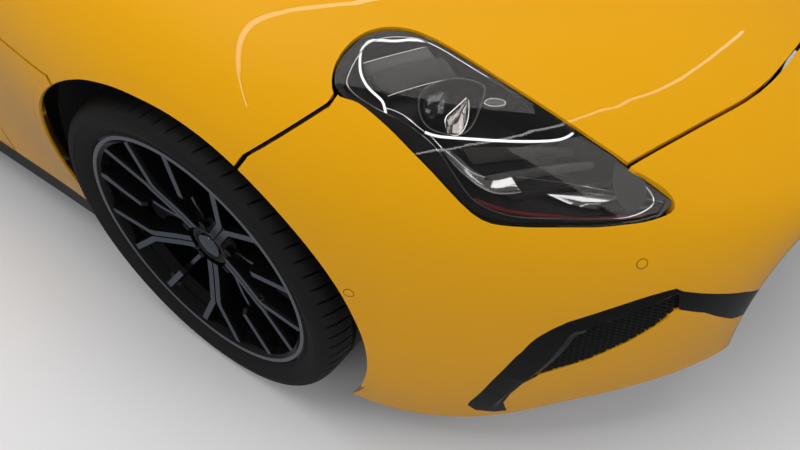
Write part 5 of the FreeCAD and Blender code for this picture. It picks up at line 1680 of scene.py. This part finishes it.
class COUPE_OT_outside(bpy.types.Operator):
    """Adds door pulls, mirror glasses, wipers, wing vents and light bars in the tail lamps"""
    bl_idname = "coupe.outside"
    bl_label = "Outside details"

    def execute(self, context):
        self.handles()
        for name, low, high, width, label in (
                ("mirror_glass", (-821.5, -1040, 968), (-817.0, -862, 1054), 0.002,
                 "mirror_glass"),
                ("mirror_rim", (-819.8, -1046, 962), (-816.0, -856, 1060), 0.0015,
                 "gloss_black")):
            both_sides(rounded(name, low, high, width), name, label, "door", "black_gloss")
        self.vents()
        points = [SKIN.cast((-3.2, -(628 + 13 * k) * MM, 0.832), (1, 0, 0), -0.0012)[0]
                  for k in range(14)]
        both_sides(smooth(tube("tail_light_bar", points, 0.0035), 60), "tail_light_bar",
                   "tail_glow", "car", "tail_lens")
        self.wipers()
        return {"FINISHED"}

    def handles(self):
        """Door pulls that follow the doors' sides, over shallow dark bowls."""
        bar, bowl = [], []
        for k in range(9):
            x, z = -1690 - 26 * k, HANDLE_HEIGHT / MM + 1.5 * k
            bar.append(SKIN.across(x, z, -0.004 - 0.009 * math.sin(math.pi * k / 8)))
            bowl.append(SKIN.across(x, z, 0.0004))
        bar = tube("door_handle", bar, 0.0078, sides=3)
        for vertex in bar.data.vertices:
            vertex.co.z = HANDLE_HEIGHT + (vertex.co.z - HANDLE_HEIGHT) * 1.25
        bowl = tube("handle_bowl", bowl, 0.012, sides=3)
        for vertex in bowl.data.vertices:
            under = Vector(SKIN.point(*SKIN.nearest(vertex.co)[0]))
            vertex.co = under.lerp(vertex.co, 0.12)
        both_sides(smooth(bar, 60), "door_handle", "paint", "door", "body_paint")
        both_sides(smooth(bowl, 60), "handle_bowl", "gloss_black", "door", "black_gloss")

    def vents(self):
        """Three oval vents in each wing behind the front wheel."""
        for k in range(3):
            x, z = -520 - 52 * k, 560 - 3 * k
            turns = [2 * math.pi * s / 28 for s in range(28)]
            rows = [[SKIN.across(x + 17 * share * math.cos(turn), z + 9.5 * share * math.sin(turn),
                                 depth * MM) for turn in turns] for share, depth in VENT_RINGS]
            vent = smooth(sheeted("wing_vent", rows, 0.0012), 40)
            both_sides(vent, "wing_vent_%d" % (k + 1), "gloss_black", "car", "black_gloss")

    def wipers(self):
        """Two wiper arms with blades on the windscreen's foot."""
        for name, ((x0, y0), (x1, y1)) in WIPERS.items():
            along = [(x0 + (x1 - x0) * k / 7, y0 + (y1 - y0) * k / 7) for k in range(9)]
            arm = [SKIN.down(x, y, -0.016 if k in (3, 4) else -0.012)
                   for k, (x, y) in enumerate(along[:6])]
            blade = [SKIN.down(x - 40, y + 60, -0.0055) for x, y in along]
            link_line = [arm[-1], arm[-1].lerp(blade[5], 0.5), blade[5]]
            parts = [tube("wiper_arm", arm, 0.0045), tube("wiper_blade", blade, 0.0032),
                     tube("wiper_link", link_line, 0.003)]
            wiper = smooth(joined("wiper_" + name, parts), 60)
            finished(wiper, "moulded", "car", "black_plastic")


# Stage and camera

CAMERA_PLACE = (2.3301, -1.4111, 1.3695)
CAMERA_RIGHT = Vector((0.80913, 0.58761, -0.00439))
CAMERA_DOWN = Vector((0.43364, -0.60214, -0.67036))
CAMERA_AHEAD = Vector((-0.39656, 0.54051, -0.74202))
CAMERA_LENS = 32.4
BACKDROP = (0.70, 0.70, 0.71, 1)
FLOOR_RADIUS = 40
FADE_START, FADE_END, FADE_SHARE = 3.6, 9.0, 0.85
SKY_STRENGTH = 0.16


class COUPE_OT_stage(bpy.types.Operator):
    """Sets the pale floor, the soft lamps, the sky and the camera"""
    bl_idname = "coupe.stage"
    bl_label = "Stage and camera"

    def execute(self, context):
        scene = context.scene
        self.ground()
        self.lamps(scene)
        self.sky(scene)
        self.camera(scene)
        scene.view_settings.view_transform = "Standard"
        return {"FINISHED"}

    def ground(self):
        """A round floor that the paint doesn't mirror."""
        clear_choice()
        bpy.ops.mesh.primitive_circle_add(vertices=96, radius=FLOOR_RADIUS, fill_type="NGON")
        floor = drawn_out(named("studio_floor"), (0, 0, -0.05))
        floor.data.materials.append(self.floor_finish())
        floor.visible_glossy = False

    def lamps(self, scene):
        """Large soft lamps, and narrow strips that the paint mirrors."""
        for name, place, aim, size, length, power, mirrored_in_paint in STUDIO_LAMPS:
            lamp = bpy.data.lights.new(name, "AREA")
            lamp.shape = "RECTANGLE"
            lamp.size = size
            lamp.size_y = length
            lamp.energy = power
            obj = bpy.data.objects.new(name, lamp)
            obj.location = place
            obj.visible_glossy = mirrored_in_paint
            obj.rotation_euler = (Vector(aim) - Vector(place)).to_track_quat("-Z", "Y").to_euler()
            scene.collection.objects.link(obj)

    def camera(self, scene):
        """The camera that was fitted to the photo."""
        eye = bpy.data.cameras.new("Photo camera")
        eye.lens = CAMERA_LENS
        eye.sensor_width = 36
        eye.sensor_fit = "HORIZONTAL"
        eye.clip_start = 0.02
        camera = bpy.data.objects.new("photo_camera", eye)
        turn = Matrix((CAMERA_RIGHT, -CAMERA_DOWN, -CAMERA_AHEAD)).transposed().to_4x4()
        camera.matrix_world = Matrix.Translation(CAMERA_PLACE) @ turn
        scene.collection.objects.link(camera)
        scene.camera = camera

    def floor_finish(self):
        """A pale floor that runs out into an even pale backdrop, well clear of the car."""
        made = surface("Studio floor", (0.74, 0.74, 0.75), 0.85, drift=0.03, cloud=2,
                       relief=0.0001)
        tree = made.node_tree
        place = placed(tree, "ShaderNodeTexCoord", -700, 500)
        reach = placed(tree, "ShaderNodeVectorMath", -500, 500, operation="LENGTH")
        link(place, "Object", reach, 0)
        fade = placed(tree, "ShaderNodeMapRange", -300, 500, interpolation_type="SMOOTHSTEP")
        for label, value in (("From Min", FADE_START), ("From Max", FADE_END),
                             ("To Max", FADE_SHARE)):
            fade.inputs[label].default_value = value
        link(reach, "Value", fade, "Value")
        path = placed(tree, "ShaderNodeLightPath", -300, 800)
        seen = placed(tree, "ShaderNodeMath", 0, 500, operation="MULTIPLY")
        link(fade, "Result", seen, 0)
        link(path, "Is Camera Ray", seen, 1)
        glow = placed(tree, "ShaderNodeEmission", 200, 300)
        glow.inputs["Color"].default_value = BACKDROP
        blended(tree, seen, "Value", tree.nodes["Principled BSDF"], glow,
                tree.nodes["Material Output"])
        return made

    def sky(self, scene):
        """A plain soft sky, seen by the camera as the pale backdrop."""
        world = bpy.data.worlds.new("Studio sky")
        world.use_nodes = True
        tree = world.node_tree
        soft = tree.nodes["Background"]
        soft.inputs["Color"].default_value = (0.96, 0.97, 1.0, 1)
        soft.inputs["Strength"].default_value = SKY_STRENGTH
        pale = placed(tree, "ShaderNodeBackground", 0, -200)
        pale.inputs["Color"].default_value = BACKDROP
        path = placed(tree, "ShaderNodeLightPath", 0, 400)
        blended(tree, path, "Is Camera Ray", soft, pale, tree.nodes["World Output"])
        scene.world = world


STUDIO_LAMPS = [
    ("soft_overhead", (0.6, -0.6, 4.6), (0.9, -0.3, 0), 4.0, 5.5, 165, False),
    ("soft_front", (5.4, -0.4, 2.8), (1.5, 0, 0.5), 3.0, 3.0, 66, False),
    ("soft_right", (0.8, -5.2, 2.4), (0.6, 0, 0.5), 4.0, 1.8, 78, False),
    ("soft_left", (0.2, 5.4, 2.8), (0, 0, 0.6), 4.0, 1.8, 50, False),
    ("soft_rear", (-5.6, 0.0, 2.8), (-1.5, 0, 0.5), 3.0, 2.0, 45, False),
    ("strip_first", (0.9, -1.9, 3.1), (0.9, -1.9, 0), 0.035, 5.6, 2.6, True),
    ("strip_second", (0.9, -0.2, 3.2), (0.9, -0.2, 0), 0.035, 5.6, 2.6, True),
    ("strip_third", (0.9, 1.6, 3.1), (0.9, 1.6, 0), 0.035, 5.6, 2.6, True),
    ("strip_cross", (3.2, -0.2, 2.6), (2.2, -0.2, 0), 4.6, 0.035, 2.2, True),
]


OPERATORS = [COUPE_OT_stage, COUPE_OT_panels, COUPE_OT_carried, COUPE_OT_wheels,
             COUPE_OT_headlamps, COUPE_OT_intakes, COUPE_OT_trim, COUPE_OT_seats,
             COUPE_OT_bench, COUPE_OT_cabin, COUPE_OT_outside]


class COUPE_PT_dress(bpy.types.Panel):
    """Lists the car's pieces"""
    bl_idname = "COUPE_PT_dress"
    bl_label = "Coupe dress"
    bl_space_type = "VIEW_3D"
    bl_region_type = "UI"
    bl_category = "Coupe"

    def draw(self, context):
        for group in (context.scene.coupe_finishes, context.scene.coupe_sizes):
            for name in group.__annotations__:
                self.layout.prop(group, name)
        for operator in OPERATORS:
            self.layout.operator(operator.bl_idname)


def register():
    """Registers the settings, the operators and the panel."""
    for kind in (CoupeFinishes, CoupeSizes, *OPERATORS, COUPE_PT_dress):
        bpy.utils.register_class(kind)
    bpy.types.Scene.coupe_finishes = bpy.props.PointerProperty(type=CoupeFinishes)
    bpy.types.Scene.coupe_sizes = bpy.props.PointerProperty(type=CoupeSizes)


def unregister():
    """Takes back what register added."""
    del bpy.types.Scene.coupe_sizes
    del bpy.types.Scene.coupe_finishes
    for kind in (COUPE_PT_dress, *reversed(OPERATORS), CoupeSizes, CoupeFinishes):
        bpy.utils.unregister_class(kind)


def main():
    """Builds every piece."""
    register()
    for operator in OPERATORS:
        family, name = operator.bl_idname.split(".")
        getattr(getattr(bpy.ops, family), name)()
    clear_choice()


if __name__ == "__main__":
    main()
